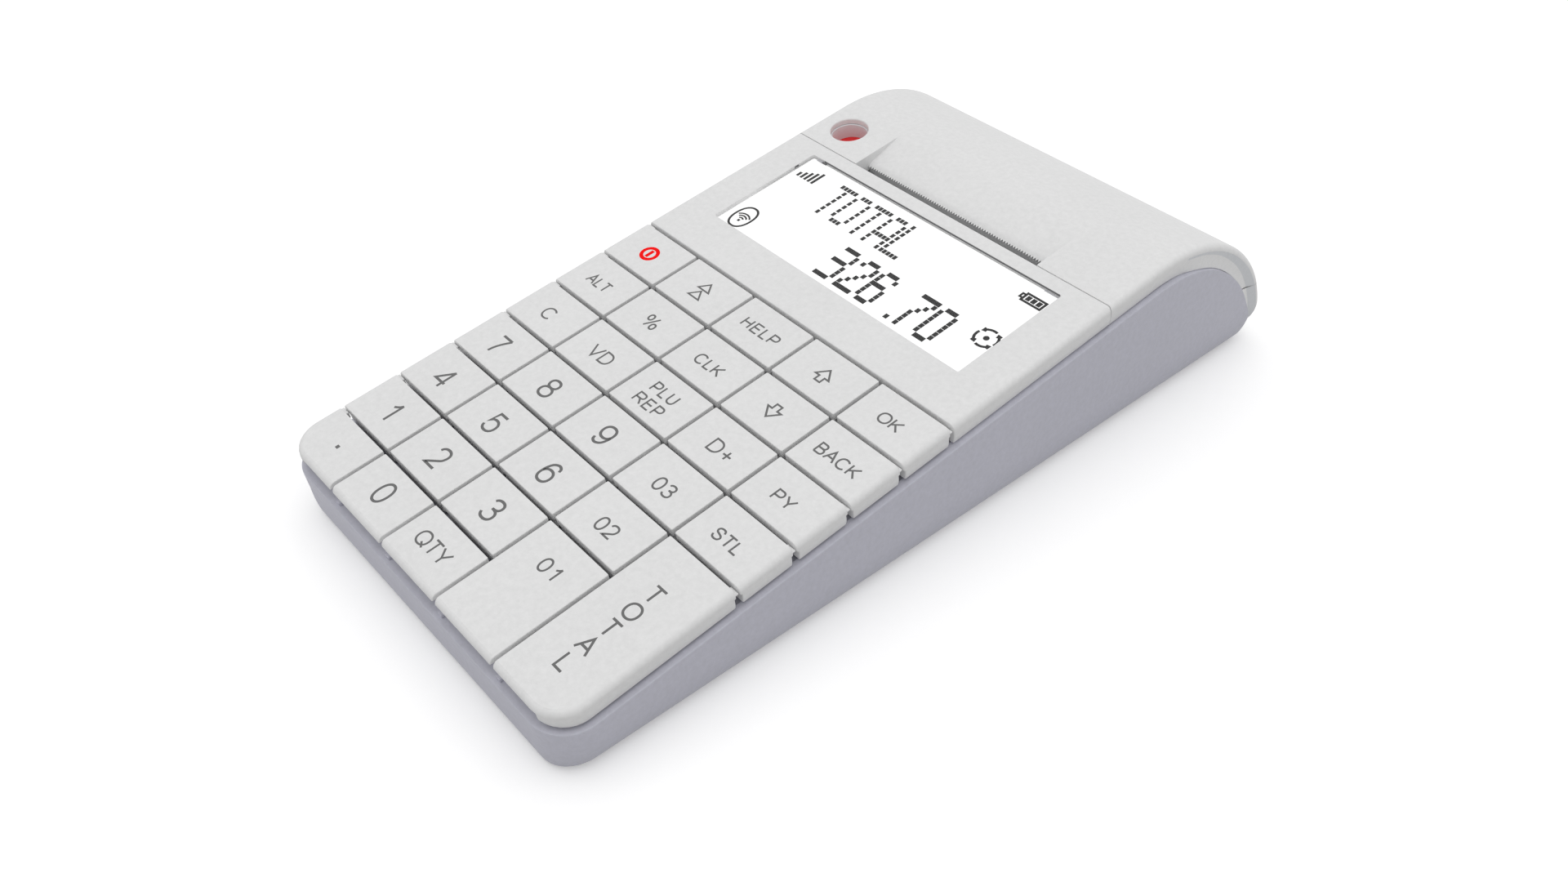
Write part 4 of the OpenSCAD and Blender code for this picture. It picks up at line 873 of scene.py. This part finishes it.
lid = {
    "edge": 1.5, "wall": 1.5, "side": 1.2,
    # depth of the skirt in front, and its gap over the tray's rim behind that
    "skirt": (5.6, 0.07),
    # how the flank leans in: slant, depth where it starts, and most
    "recess": (0.15, 1.75, 0.4), "shoulder": 0.2, "tuck": 0.5, "widen": 0.7,
    # angles of the hump between which the flank comes in, and between which it widens
    "flankAngles": (88, 74), "widenAngles": (68, 28),
    "bandAngles": (20, 25, 35, 45, 55, 65, 75, 98),
    "bandDepths": (4.55, 4.4, 4.15, 3.65, 3.2, 2.65, 2.3, 1.95),
    # lift of the split near the skin, depth from which it grows, and its growth with the depth
    "lift": (1.9, 2.0, 1.45), "liftFrom": 45.0, "liftInset": (2.4, 0.5), "seamDepth": 5.7,
    "frontClose": 0.17, "closeDepths": (0.3, 0.6), "skirtAngle": 84,
    "rampHalf": 30.5, "rampFront": 157.65, "rampBack": 168.0, "rampSlope": 2.7 / 11.2, "rampEase": 0.35,
    "easeSteps": (1.5, 1.1, 0.75, 0.4, 0.15, 0), "cheek": 1.5, "cheekLean": 0.05,
    "troughFront": 150, "troughTop": 3, "troughBack": 0.5, "troughBottom": -8,
    "block": {"front": 153.36, "back": 168.8, "top": -0.6, "backBottom": -1.6, "bottom": -4.2, "behind": 0.4},
    "bar": {"inset": 0.6, "gap": 0.03, "thick": 1.2, "top": -0.7, "bottom": -4.05},
    "holeX": -42.8, "holeV": 162.4, "holeRadius": 5.0, "holeRound": 0.4, "holeMouth": 5.3864,
    "hingeY": 213.2242, "hingeZ": 17.8375, "barrel": 1.2, "knuckle": 22.4, "barrelInset": 0.3,
    # the shaft's place, then the bracket's upper corners, seen from the shaft's v
    "platenV": 161.2, "platenDepth": 9.8,
    "bracket": {"x": 29.4, "thick": 1.5, "radius": 3.3, "back": (5, -2.2), "front": (-3.5, -4.0)},
}
# short steps of a cover's outline: the flat inside the edge, shares of the lean with their
# depths under the edge and about the band's end, the bevel at the foot and the draft inside
outlineSteps = {"flat": 1.5, "leanShares": np.array([0.04, 0.08, 0.97, 1, 1]),
                "underEdge": np.array([0.1, 0.25]), "bandEnd": np.array([-0.05, 0, 0.08]),
                "bevel": (0.12, 0.15), "draft": 0.03}

humpRim = {"angles": (6, 16, 21, 26, 36, 46, 56, 66, 80, 98),
           "depths": (4.3, 4.4, 5.2, 5.65, 6.05, 6.35, 6.25, 6.05, 5.9, 5.9)}


def rimDepthAt(angle):
    # depth of the tray's rim under the hump's skin
    return np.interp(angle, humpRim["angles"], humpRim["depths"])


def coverSection(angle, sizes, skirt):
    # Outline of a hump cover for each angle: flat top, rounded edge, a band that leans
    # inwards down to its depth, then the shoulder, almost upright, to the lower edge.
    # The shoulder runs from the band's end to the foot with the square of the way down.
    angle = np.atleast_1d(np.asarray(angle, float))[:, None]
    edge, steps = sizes["edge"], outlineSteps
    half = case["coverHalf"] + sizes["widen"] * smooth(angle, *sizes["widenAngles"])
    band = np.interp(angle, sizes["bandAngles"], sizes["bandDepths"])
    slant, start, most = sizes["recess"]
    front, flank = sizes["flankAngles"]
    recess = np.minimum(slant * (band - start), most) * smooth(angle, front, flank)
    foot = (half - recess + sizes["shoulder"] * smooth(angle, front, flank)
            - sizes["tuck"] * smooth(angle, flank, front))
    turn = np.radians(np.linspace(0, 90, 9))
    share = np.linspace(0, 1, 6)[1:]
    bevelIn, bevelUp = steps["bevel"]
    bandEnd = steps["bandEnd"][-1]
    x = [half - edge - steps["flat"], half - edge + edge * np.sin(turn), half - recess * steps["leanShares"],
         half - recess + (foot - half + recess) * share ** 2,
         foot - bevelIn, half - sizes["side"], half - sizes["side"] - steps["draft"]]
    last = skirt - bevelUp + 0 * angle
    depth = [0 * angle, edge * (1 - np.cos(turn)) + 0 * angle,
             edge + steps["underEdge"] + 0 * angle, band + steps["bandEnd"],
             band + bandEnd + (last - band - bandEnd) * share,
             skirt + 0 * angle, skirt + 0 * angle, sizes["wall"] + 0 * angle]
    x, depth = np.concatenate(x, 1), np.concatenate(depth, 1)
    return np.concatenate([x, -x[:, ::-1]], 1), np.concatenate([depth, depth[:, ::-1]], 1)


bandLimits = {"inset": 0.5, "upright": 0.7, "angle": 84, "underEdge": 0.1}


def paintBandShade(piece, sizes):
    # The band's faces, between the rounded edge and the shoulder, get a darker, cooler colour: painted shade
    # of the recess under the edge, with a cool painted reflection.
    mesh = piece.data
    mesh.materials.append(bandPaintedShade)
    for face in mesh.polygons:
        x, y, z = np.array(face.center) * 1000 + (0, case["halfLength"], 0)
        angle = math.degrees(math.atan2(z - case["humpZ"], y - case["humpY"]))
        depth = case["humpRadius"] - math.hypot(y - case["humpY"], z - case["humpZ"])
        lowest = np.interp(angle, sizes["bandAngles"], sizes["bandDepths"])
        atSide = abs(x) > case["coverHalf"] - bandLimits["inset"]
        onFlank = atSide and abs(face.normal.x) > bandLimits["upright"]
        highest = sizes["edge"] + bandLimits["underEdge"]
        if onFlank and angle < bandLimits["angle"] and highest < depth < lowest:
            face.material_index = 1


def liftedAngle(angle, x, depth, sizes):
    # The split between lid and rear cover rises on the flank: a set lift near the skin, and
    # more with the depth below that. The lift fades out from the split up to liftFrom.
    lift, start, rate = sizes["lift"]
    inner, outer = (case["coverHalf"] - inset for inset in sizes["liftInset"])
    rise = (lift + rate * np.maximum(depth - start, 0)) * smooth(np.abs(x), inner, outer)
    share = (sizes["liftFrom"] - angle) / (sizes["liftFrom"] - case["splitAngle"])
    return angle + rise * np.clip(share, 0, 1)


def lidRings(sizes):
    # Outlines from the front of the hump back to the split. The skirt ends in front at its
    # own depth and behind that a gap over the tray's rim. The first ring stands on the
    # lid's front line, and closes on the bezel below its round edge.
    angles = np.linspace(case["humpAngle"], case["splitAngle"], 60)
    angles = np.concatenate([[case["humpAngle"] + 0.001], angles])
    low, above = sizes["skirt"]
    rim = rimDepthAt(liftedAngle(angles, case["coverHalf"], sizes["seamDepth"], sizes))
    behind = smooth(angles, case["humpAngle"], sizes["skirtAngle"])
    x, depth = coverSection(angles, sizes, (low + (rim - above - low) * behind)[:, None])
    rings = humpPoints(x, liftedAngle(angles[:, None], x, depth, sizes), depth)
    front = case["lidFront"] - sizes["frontClose"] * smooth(depth[0], *sizes["closeDepths"])
    rings[0] = slopePoints(x[0], front, -depth[0])
    return rings


def rampTrough(sizes):
    # What is cut away over the ramp and in front of it. The ramp falls forwards at its slope,
    # and at its front edge by the ease more, with the square of the way there. The cheeks lean.
    front, back, slope, clear = (sizes[k] for k in ("rampFront", "rampBack", "rampSlope", "troughTop"))
    drop = -(back - front) * slope
    span = sizes["easeSteps"][0]
    outline = [(sizes["troughFront"], clear), (back + clear, clear), (back + clear, clear * slope)]
    outline += [(front + f, drop + f * slope - sizes["rampEase"] * (1 - f / span) ** 2)
                for f in sizes["easeSteps"]]
    outline += [(front + sizes["troughBack"], sizes["troughBottom"]),
                (sizes["troughFront"], sizes["troughBottom"])]
    return prismPart(outline, -sizes["rampHalf"], sizes["rampHalf"],
                     lambda x, v, n: slopePoints(x + np.sign(x) * sizes["cheekLean"] * n, v, n))


def sealHole(sizes):
    # the round hole's cutter, from over the lid to under it, with a quarter-round at the top
    edge, radius = sizes["holeRound"], sizes["holeRadius"]
    profile = [(2, sizes["holeMouth"]), (0.01, sizes["holeMouth"])]
    profile += [(-edge + edge * math.sin(t), radius + edge - edge * math.cos(t))
                for t in np.radians(range(75, -1, -15))]
    profile += [(-9, radius)]
    return drumPart(profile, lambda n, a, b: slopePoints(sizes["holeX"] + a, sizes["holeV"] + b, n), 64)


def barrelPart(x0, x1, sizes):
    # a piece of the hinge's barrel
    turn = np.linspace(0, 2 * math.pi, 25)[:-1]
    return prismPart(arcLine(sizes["hingeY"], sizes["hingeZ"], sizes["barrel"], turn), x0, x1, trayPoints)


def makeBrackets(sizes):
    # the two brackets that carry the platen, round about its shaft, and the hinge's barrels
    bracket, v, n = sizes["bracket"], sizes["platenV"], -sizes["platenDepth"]
    (backV, backN), (frontV, frontN) = bracket["back"], bracket["front"]
    arc = arcLine(v, n, bracket["radius"], np.radians(np.linspace(180, 360, 17)))
    outline = np.vstack([[(v + backV, backN), (v + frontV, frontN)], arc])
    parts = []
    for x0 in (bracket["x"], -bracket["x"] - bracket["thick"]):
        parts.append(prismPart(outline, x0, x0 + bracket["thick"], slopePoints))
    end = case["coverHalf"] - sizes["barrelInset"]
    parts += [barrelPart(sizes["knuckle"], end, sizes), barrelPart(-end, -sizes["knuckle"], sizes)]
    makePiece("lid_brackets", parts, coverPlastic, "lid")


def makeLid(sizes):
    # the shell, with the block round the ramp and the bar at its front joined on, and the
    # trough and the seal's hole cut out
    piece = rawObject("lid_shell", [gridPart(lidRings(sizes))])
    block, bar = sizes["block"], sizes["bar"]
    outline = [(block["front"], block["top"]), (block["back"], block["top"]),
               (block["back"], block["backBottom"]),
               (sizes["rampFront"] + block["behind"], block["bottom"]), (block["front"], block["bottom"])]
    outer = sizes["rampHalf"] + sizes["cheek"]
    combine(piece, [prismPart(outline, -outer, outer, slopePoints)], "UNION")
    half, front = case["coverHalf"] - bar["inset"], case["lidFront"] + bar["gap"]
    combine(piece, [blockPart(-half, half, front, front + bar["thick"], bar["top"], bar["bottom"])], "UNION")
    combine(piece, [rampTrough(sizes)], "DIFFERENCE")
    combine(piece, [sealHole(sizes)], "DIFFERENCE")
    finishPiece(piece, coverPlastic, "lid", ["paper_lid"])
    paintBandShade(piece, sizes)


makeLid(lid)
makeBrackets(lid)

collar = {"inner": 4.72, "outer": 6.4, "top": -1.64, "bottom": -2.45, "bevel": 0.15}


def makeCollar(sizes):
    # ring round the seal's cup, close under the lid
    inner, outer, top, bottom = sizes["inner"], sizes["outer"], sizes["top"], sizes["bottom"]
    turn = np.linspace(0, 2 * math.pi, 65)[:-1]
    profile = np.array([(inner, bottom), (inner, top - sizes["bevel"]), (inner + sizes["bevel"], top),
                        (outer, top), (outer, bottom)])
    radius, level = profile[:, :1], profile[:, 1:]
    rings = slopePoints(lid["holeX"] + radius * np.cos(turn), lid["holeV"] + radius * np.sin(turn),
                        level + 0 * turn)
    makePiece("seal_collar", [gridPart(rings, closed=True)], framePlastic, "case")


makeCollar(collar)

tearBar = {
    "half": 30.3, "tip": 157.05, "pitch": 0.8, "thick": 0.45, "valleyEase": 0.02,
    # how fast a tooth falls to its tip, the root behind the valleys, and how a tip ends
    "fall": 0.27, "root": 0.3, "tipLength": 0.1, "tipShare": 0.6,
    # the guide's front and back behind the valleys, at its top and at its foot
    "guideTop": (0.02, 0.35), "guideFoot": (0.2, 0.65), "guideDepth": 5.8, "guideSunk": 0.2,
    "guideInset": 0.03,
}


def makeTearBar(sizes):
    # A strip in the plane of the ramp: at each x its front edge is a triangle wave from
    # valley to tip. The guide wall stands under the valleys.
    valley, slope, back, ease = (lid[k] for k in ("rampFront", "rampSlope", "rampBack", "rampEase"))
    count = round(2 * sizes["half"] / sizes["pitch"])
    x = np.linspace(-sizes["half"], sizes["half"], 2 * count + 1)[:, None]
    odd = np.arange(2 * count + 1)[:, None] % 2
    front = np.where(odd, sizes["tip"], valley - sizes["valleyEase"])
    fallen = sizes["fall"] * (valley - front)
    root = valley + sizes["root"] + 0 * x
    v = np.concatenate([front, valley + 0 * x, root, root, front + sizes["tipLength"]], 1)
    sunk = np.concatenate([ease + fallen, ease + 0 * x, ease + 0.1 + 0 * x, sizes["thick"] + ease + 0 * x,
                           sizes["thick"] * sizes["tipShare"] + ease + fallen], 1)
    parts = [gridPart(slopePoints(x, v, (v - back) * slope - sunk))]
    low, top = -sizes["guideDepth"], (valley - back) * slope - ease - sizes["guideSunk"]
    (topFront, topBack), (footFront, footBack) = sizes["guideTop"], sizes["guideFoot"]
    guide = [(valley + topFront, top), (valley + topBack, top),
             (valley + footBack, low), (valley + footFront, low)]
    half = sizes["half"] - sizes["guideInset"]
    parts.append(prismPart(guide, -half, half, slopePoints))
    makePiece("tear_strip", parts, coverPlastic, "lid", ["tear_bar"])


makeTearBar(tearBar)
print("lid made")

tray = {
    "bottom": 0.72, "wall": 2.0, "ledge": 1.4,
    # a lip under the rim, and between which two lines it fades out towards the rear
    "lip": 0.5, "lipFade": (150, 130),
    "floor": 2.8, "corner": 9.1, "rear": 218.45, "rearCorner": 6.5, "rimDepth": 5.9, "frontRise": 0.65,
    # height and width of the rim's rounding over the hump, and elsewhere
    "rimRound": (0.62, 0.18), "rimEdge": (0.12, 0.08), "roundAngles": (62, 86),
    # how far the foot draws in at each side, and up to what height above the bottom
    "sideRound": 3.9, "frontRound": 1.57, "rearRound": 5.0, "roundHeight": 10.16, "footFlat": 1.5,
    # the front's lean: its rate, the height it starts from, over how much, and the most of it
    "frontLean": 0.37, "leanFrom": 14.0, "leanOver": 4, "leanMost": 1.4,
    "screws": ((42.4, 16.09), (-42.4, 16.09), (36, 210.22), (-36, 210.22)),
    "boss": ((2.5, 4.2), (5.2, 4.2)), "bore": ((-1, 3.0), (3.0, 3.0), (3.001, 1.55), (6, 1.55)),
    "hatch": (-35.5, 35.5, 101.71, 139.71), "hatchStep": 2.0, "stepTop": 2.1,
    "bayTop": 21.8, "bayWall": 1.2, "bayBottom": 2.5,
    "ribs": (-31.3, -10.0, 11.1, 32.4), "ribHalf": 0.7, "ribPlace": (0.4, 2.6, -4.55, -5.5),
    # side lips: x from and to, top and bottom; and their start and end up the slope
    "sideLips": ((50.1, 50.9, -4.75, -6.9), (50.3, 52.3, -6.4, -6.85)), "lipSpan": (104, 148),
}


def rimAt(y, sizes):
    # Height of the rim over y, the way down into the wall there, and how round it is:
    # the slope, then the circle round the hump's axis, then the low lip behind it.
    slopeZ = case["frontHeight"] + y * sinTilt / cosTilt - sizes["rimDepth"] / cosTilt
    turn = np.linspace(case["humpAngle"], 6, 185)
    radius = case["humpRadius"] - rimDepthAt(turn)
    lineY = case["humpY"] + radius * np.cos(np.radians(turn))
    lineZ = case["humpZ"] + radius * np.sin(np.radians(turn))
    angle = np.interp(y, lineY, turn)
    z = np.interp(y, lineY, lineZ)
    onSlope, onLip = y < lineY[0], z < case["lipHeight"]
    z = np.where(onSlope, slopeZ, np.where(onLip, case["lipHeight"], z))
    downY = np.where(onSlope, sinTilt, np.where(onLip, 0, -np.cos(np.radians(angle))))
    downZ = np.where(onSlope, -cosTilt, np.where(onLip, -1, -np.sin(np.radians(angle))))
    return z, downY, downZ, smooth(angle, *sizes["roundAngles"])


def trayPerimeter(sizes):
    # The plan outline from the middle of the front, round the right side to the rear,
    # with the way out of the wall at each point.
    half, corner, rear, back = case["trayHalf"], sizes["corner"], sizes["rear"], sizes["rearCorner"]
    turn = np.radians(np.linspace(-90, 0, 17))
    arc = np.linspace(case["humpAngle"], 22, 56)
    arcY = case["humpY"] + (case["humpRadius"] - rimDepthAt(arc)) * np.cos(np.radians(arc))
    sideY = np.concatenate([np.linspace(corner, arcY[0], 10)[1:-1], arcY[arcY < rear - back - 0.3],
                            [rear - back]])
    behind = np.radians(np.concatenate([np.linspace(3, 15, 5), np.linspace(16, 90, 12)]))
    x = np.concatenate([[0], half - corner + corner * np.cos(turn), 0 * sideY + half,
                        half - back + back * np.cos(behind), [0]])
    y = np.concatenate([[0], corner + corner * np.sin(turn), sideY,
                        rear - back + back * np.sin(behind), [rear]])
    outX = np.concatenate([[0], np.cos(turn), 0 * sideY + 1, np.cos(behind), [0]])
    outY = np.concatenate([[-1], np.sin(turn), 0 * sideY, np.sin(behind), [1]])
    return x, y, outX, outY


def mirrorHalf(values, sign):
    # the right half run on by its mirror image, without the two middle points twice
    return np.concatenate([values, sign * values[1:-1][::-1]])


def trayRings(sizes):
    # Rings up the outside from under the foot, over the rim and down inside to the floor.
    # The foot is part of an ellipse and the rim another one. The wall leans out over its
    # foot at the front, by its rate for each millimetre down, and the rim stands on the
    # true outline.
    half = trayPerimeter(sizes)
    x, y, outX, outY = (mirrorHalf(a, s) for a, s in zip(half, (-1, 1, -1, 1)))
    z, downY, downZ, roundness = rimAt(y, sizes)
    rear = outY > 0
    atFront = np.where(rear, 0, outY ** 2)
    z = z + sizes["frontRise"] * atFront
    reach = np.where(rear, sizes["rearRound"], sizes["frontRound"]) * outY ** 2
    reach = reach + sizes["sideRound"] * outX ** 2
    lean = sizes["frontLean"] * atFront
    bottom, rounding = sizes["bottom"], sizes["roundHeight"]
    rimTall, rimWide = (edge + (most - edge) * roundness
                        for edge, most in zip(sizes["rimEdge"], sizes["rimRound"]))
    # the foot's part-ellipse stops below the rim where the rim is low
    last = np.arccos(np.clip(1 - (z - rimTall - 0.1 - bottom) / rounding, 0, 1))
    base = reach * (1 - np.sin(last))
    rings = []

    def addRing(inset, height):
        # a level ring, drawn in by the inset and, low down at the front, by the lean
        inset = inset + lean * np.clip((sizes["leanFrom"] - height) / sizes["leanOver"], 0, sizes["leanMost"])
        rings.append(trayPoints(x - outX * inset, y - outY * inset, height))

    def addRim(inset, down):
        # a ring seen from the rim: drawn in by the inset and down along the way into the wall
        inset = base + inset
        rings.append(trayPoints(x - outX * inset, y - outY * inset + downY * down, z + downZ * down))

    addRing(reach + sizes["footFlat"], 0 * x + bottom)
    for share in np.array([0, 8, 16, 26, 36, 46, 56, 66, 76, 84, 90]) / 90:
        addRing(reach * (1 - np.sin(share * last)), bottom + rounding * (1 - np.cos(share * last)))
    for turn in np.radians([0, 15, 30, 45, 60, 75, 90]):
        addRim(rimWide * (1 - math.cos(turn)), rimTall * (1 - math.sin(turn)))
    # inside the rim: its bevel, the lip that hangs under it, the wall and the floor's cove
    wall = sizes["wall"] + sizes["ledge"] * atFront
    lip = sizes["lip"] * outX ** 2 * smooth(y, *sizes["lipFade"])
    for inset, down in ((wall + lip - 0.15, 0), (wall + lip, 0.15), (wall + lip, 0.5), (wall, 0.55)):
        addRim(inset - base, down)
    floor = sizes["floor"]
    rings.append(trayPoints(x - outX * wall, y - outY * wall, np.minimum(floor + 0.4, z - 0.4)))
    rings.append(trayPoints(x - outX * (wall + 2), y - outY * (wall + 2), np.full_like(x, floor)))
    return np.stack(rings)


def screwDrums(profile, places):
    # the same upright drum at each screw
    return [drumPart(profile, lambda n, a, b, x=x, y=y: trayPoints(x + a, y + b, n), 32) for x, y in places]


def makeTray(sizes):
    # the shell with the screws' bosses and bores and the stepped hole for the battery door
    piece = rawObject("tray_shell", [gridPart(trayRings(sizes))])
    combine(piece, screwDrums(sizes["boss"], sizes["screws"]), "UNION")
    combine(piece, screwDrums(sizes["bore"], sizes["screws"]), "DIFFERENCE")
    left, right, front, back = sizes["hatch"]
    step = sizes["hatchStep"]
    rebate = blockPart(left - step, right + step, front - step, back + step, sizes["stepTop"], -1, False)
    combine(piece, [rebate], "DIFFERENCE")
    combine(piece, [blockPart(left, right, front, back, 6, -2, False)], "DIFFERENCE")
    finishPiece(piece, trayPlastic, "case", ["lower_housing"])


def makeBay(sizes):
    # the walls round the battery, closed above
    left, right, front, back = sizes["hatch"]
    wall, top = sizes["bayWall"], sizes["bayTop"]
    bay = rawObject("battery_bay", [blockPart(left - wall, right + wall, front - wall, back + wall,
                                              top + wall, sizes["bayBottom"], False)])
    combine(bay, [blockPart(left, right, front, back, top, -2, False)], "DIFFERENCE")
    finishPiece(bay, trayPlastic, "case")


def makeRibs(sizes):
    # ribs under the gaps at the front; a lip inside each side keeps light from passing
    # under the bezel
    ribs = []
    for x in sizes["ribs"]:
        ribs.append(blockPart(x - sizes["ribHalf"], x + sizes["ribHalf"], *sizes["ribPlace"], radius=0.12))
    for side in (-1, 1):
        for near, far, top, bottom in sizes["sideLips"]:
            ribs.append(blockPart(*sorted((side * near, side * far)), *sizes["lipSpan"], top, bottom))
    makePiece("rim_ribs", ribs, trayPlastic, "case")


makeTray(tray)
makeBay(tray)
makeRibs(tray)
print("tray made")


# the lid's sizes with those of its own: the foot, the gap to the lid behind its edge on the
# flank, and the places of the power inlet and the data socket
rearCover = dict(lid, wall=1.8, lastAngle=9, footFrom=12.5, footSide=6.0, footRear=4.4,
                 gap=0.4, flankGap=0.34, gapDepths=(1.4, 2.4), footGap=0.03, knuckleHalf=22,
                 inlet=(-18, 214.3, 10.6), inletCut=((-4, 4.8), (20, 4.8)),
                 socket=(9.7, 18.3, 209, 230, 12.9, 8.3))


def rearRings(sizes):
    # Outlines from the split to the foot: between a ring that keeps its gap to the lid's last
    # one, and a ring level on the tray's low lip, in even shares. Low down the shell is
    # drawn in with a quarter of an ellipse, as the tray's foot is.
    split = case["splitAngle"]
    share = np.linspace(0, 1, 22)[:, None]
    guess = np.linspace(split, sizes["lastAngle"], 22)
    risen = liftedAngle(split, case["coverHalf"], sizes["seamDepth"], sizes) - split
    rim = rimDepthAt(guess + risen * (1 - share[:, 0]))
    x, depth = coverSection(guess, sizes, (rim - sizes["skirt"][1])[:, None])
    onFlank = np.abs(x[0]) > case["coverHalf"] - 1
    gap = sizes["gap"] + sizes["flankGap"] * smooth(depth[0], *sizes["gapDepths"]) * onFlank
    first = liftedAngle(split, x[0], depth[0], sizes) - np.degrees(gap / case["humpRadius"])
    level = case["lipHeight"] + sizes["footGap"] - case["humpZ"]
    last = np.degrees(np.arcsin(level / (case["humpRadius"] - depth[-1])))
    rings = humpPoints(x, first[None, :] * (1 - share) + last[None, :] * share, depth)
    sink = np.clip((sizes["footFrom"] - rings[..., 2]) / tray["roundHeight"], 0, 1)
    inset = 1 - np.sqrt(1 - sink ** 2)
    rings[..., 0] -= np.sign(x) * sizes["footSide"] * inset
    rings[..., 1] -= sizes["footRear"] * inset
    return rings


def makeRearCover(sizes):
    # the shell with the holes for the power inlet and the data socket, and the middle of
    # the hinge's barrel
    piece = rawObject("rear_shell", [gridPart(rearRings(sizes))])
    x, y, z = sizes["inlet"]
    inlet = drumPart(sizes["inletCut"], lambda n, a, b: trayPoints(x + a, y + n, z + b), 64)
    combine(piece, [inlet], "DIFFERENCE")
    combine(piece, [blockPart(*sizes["socket"], onSlope=False)], "DIFFERENCE")
    finishPiece(piece, coverPlastic, "case", ["rear_cover"])
    paintBandShade(piece, sizes)
    barrel = barrelPart(-sizes["knuckleHalf"], sizes["knuckleHalf"], sizes)
    makePiece("rear_knuckle", [barrel], coverPlastic, "case")


makeRearCover(rearCover)
print("rear cover made")


nodeFinishes = {
    "key_deck": deckPlastic, "dome_mat": matSilicone, "main_board": boardGreen,
    "display_window": clearWindow, "display_glass": displayBacklight, "inner_frame": framePlastic,
    "seal": sealRed, "lid_pin": brightSteel, "platen_shaft": brightSteel,
    "platen_rubber": rubberDark, "platen_gear": gearNylon, "idler_gear": gearNylon,
    "motor_pinion": gearNylon, "feed_motor": brightSteel, "printer_chassis": chassisZinc,
    "print_head": headCeramic, "paper_roll": paperWhite, "battery_pack": batteryWrap,
    "battery_door": trayPlastic, "power_jack": jackBlack, "data_socket": brightSteel,
    "case_screws": brightSteel, "rubber_feet": rubberDark,
}
for nodeName, finish in nodeFinishes.items():
    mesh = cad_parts[nodeName].data
    mesh.materials.clear()
    mesh.materials.append(finish)


studio = {
    "floorSize": 6.0, "floorTones": (0.5, 0.93), "floorGlow": 0.22, "domeStrength": 0.74,
    "lampPower": 6.0, "lampSize": 1.6, "lampHeight": 1.5,
    "cameraPlace": (0.19544, -0.17844, 0.22136), "lens": 32.05, "sensor": 36, "clip": (0.01, 20),
    "cameraUp": (-0.496910, 0.431485, 0.752928), "cameraBack": (0.568329, -0.493867, 0.658103),
}


def seenDirectly(tree, *kinds):
    # 1 for rays of these kinds, which look at the thing itself, and 0 for those it lights with
    rays = addNode(tree, "ShaderNodeLightPath")
    seen = rays.outputs[kinds[0]]
    for kind in kinds[1:]:
        seen = mathNode(tree, "MAXIMUM", seen, rays.outputs[kind])
    return seen


def makeFloor(sizes):
    # a matt plane, with a tone and a faint glow of its own where it is looked at
    half = sizes["floorSize"] / 2
    mesh = bpy.data.meshes.new("floor")
    corners = [(-half, -half, 0), (half, -half, 0), (half, half, 0), (-half, half, 0)]
    mesh.from_pydata(corners, [], [(0, 1, 2, 3)])
    floor = bpy.data.objects.new("floor", mesh)
    bpy.context.scene.collection.objects.link(floor)
    material, tree, surface = newMaterial("floorWhite")
    seen = seenDirectly(tree, "Is Camera Ray", "Is Glossy Ray")
    tree.links.new(rangeNode(tree, seen, *sizes["floorTones"]), surface.inputs["Base Color"])
    glow = mathNode(tree, "MULTIPLY", seen, sizes["floorGlow"])
    tree.links.new(glow, surface.inputs["Emission Strength"])
    setInputs(surface, {"Emission Color": (1, 1, 1, 1), "Roughness": 1.0, "Specular IOR Level": 0.0})
    mesh.materials.append(material)


def makeLights(sizes):
    # a white dome, full where it is looked at and weaker as a light, and a large lamp above
    world = bpy.data.worlds.new("dome")
    bpy.context.scene.world = world
    world.use_nodes = True
    tree = world.node_tree
    dome = tree.nodes["Background"]
    seen = seenDirectly(tree, "Is Camera Ray", "Is Glossy Ray", "Is Transmission Ray")
    tree.links.new(rangeNode(tree, seen, sizes["domeStrength"], 1.0), dome.inputs["Strength"])
    setInputs(dome, {"Color": (1, 1, 1, 1)})
    lamp = bpy.data.lights.new("overhead", "AREA")
    lamp.size = sizes["lampSize"]
    lamp.energy = sizes["lampPower"]
    lampObject = bpy.data.objects.new("overhead", lamp)
    lampObject.location = (0, 0, sizes["lampHeight"])
    bpy.context.scene.collection.objects.link(lampObject)


def makeCamera(sizes):
    # looks against its back axis; its right and up are made square to that
    camera = bpy.data.cameras.new("camera")
    camera.lens, camera.sensor_width = sizes["lens"], sizes["sensor"]
    camera.clip_start, camera.clip_end = sizes["clip"]
    cameraObject = bpy.data.objects.new("camera", camera)
    bpy.context.scene.collection.objects.link(cameraObject)
    back = np.array(sizes["cameraBack"]) / np.linalg.norm(sizes["cameraBack"])
    right = np.cross(sizes["cameraUp"], back)
    right /= np.linalg.norm(right)
    up = np.cross(back, right)
    turn = Matrix([[right[i], up[i], back[i]] for i in range(3)]).to_4x4()
    turn.translation = sizes["cameraPlace"]
    cameraObject.matrix_world = turn
    bpy.context.scene.camera = cameraObject
    bpy.context.scene.view_settings.view_transform = "Standard"


makeFloor(studio)
makeLights(studio)
makeCamera(studio)
print("studio made")
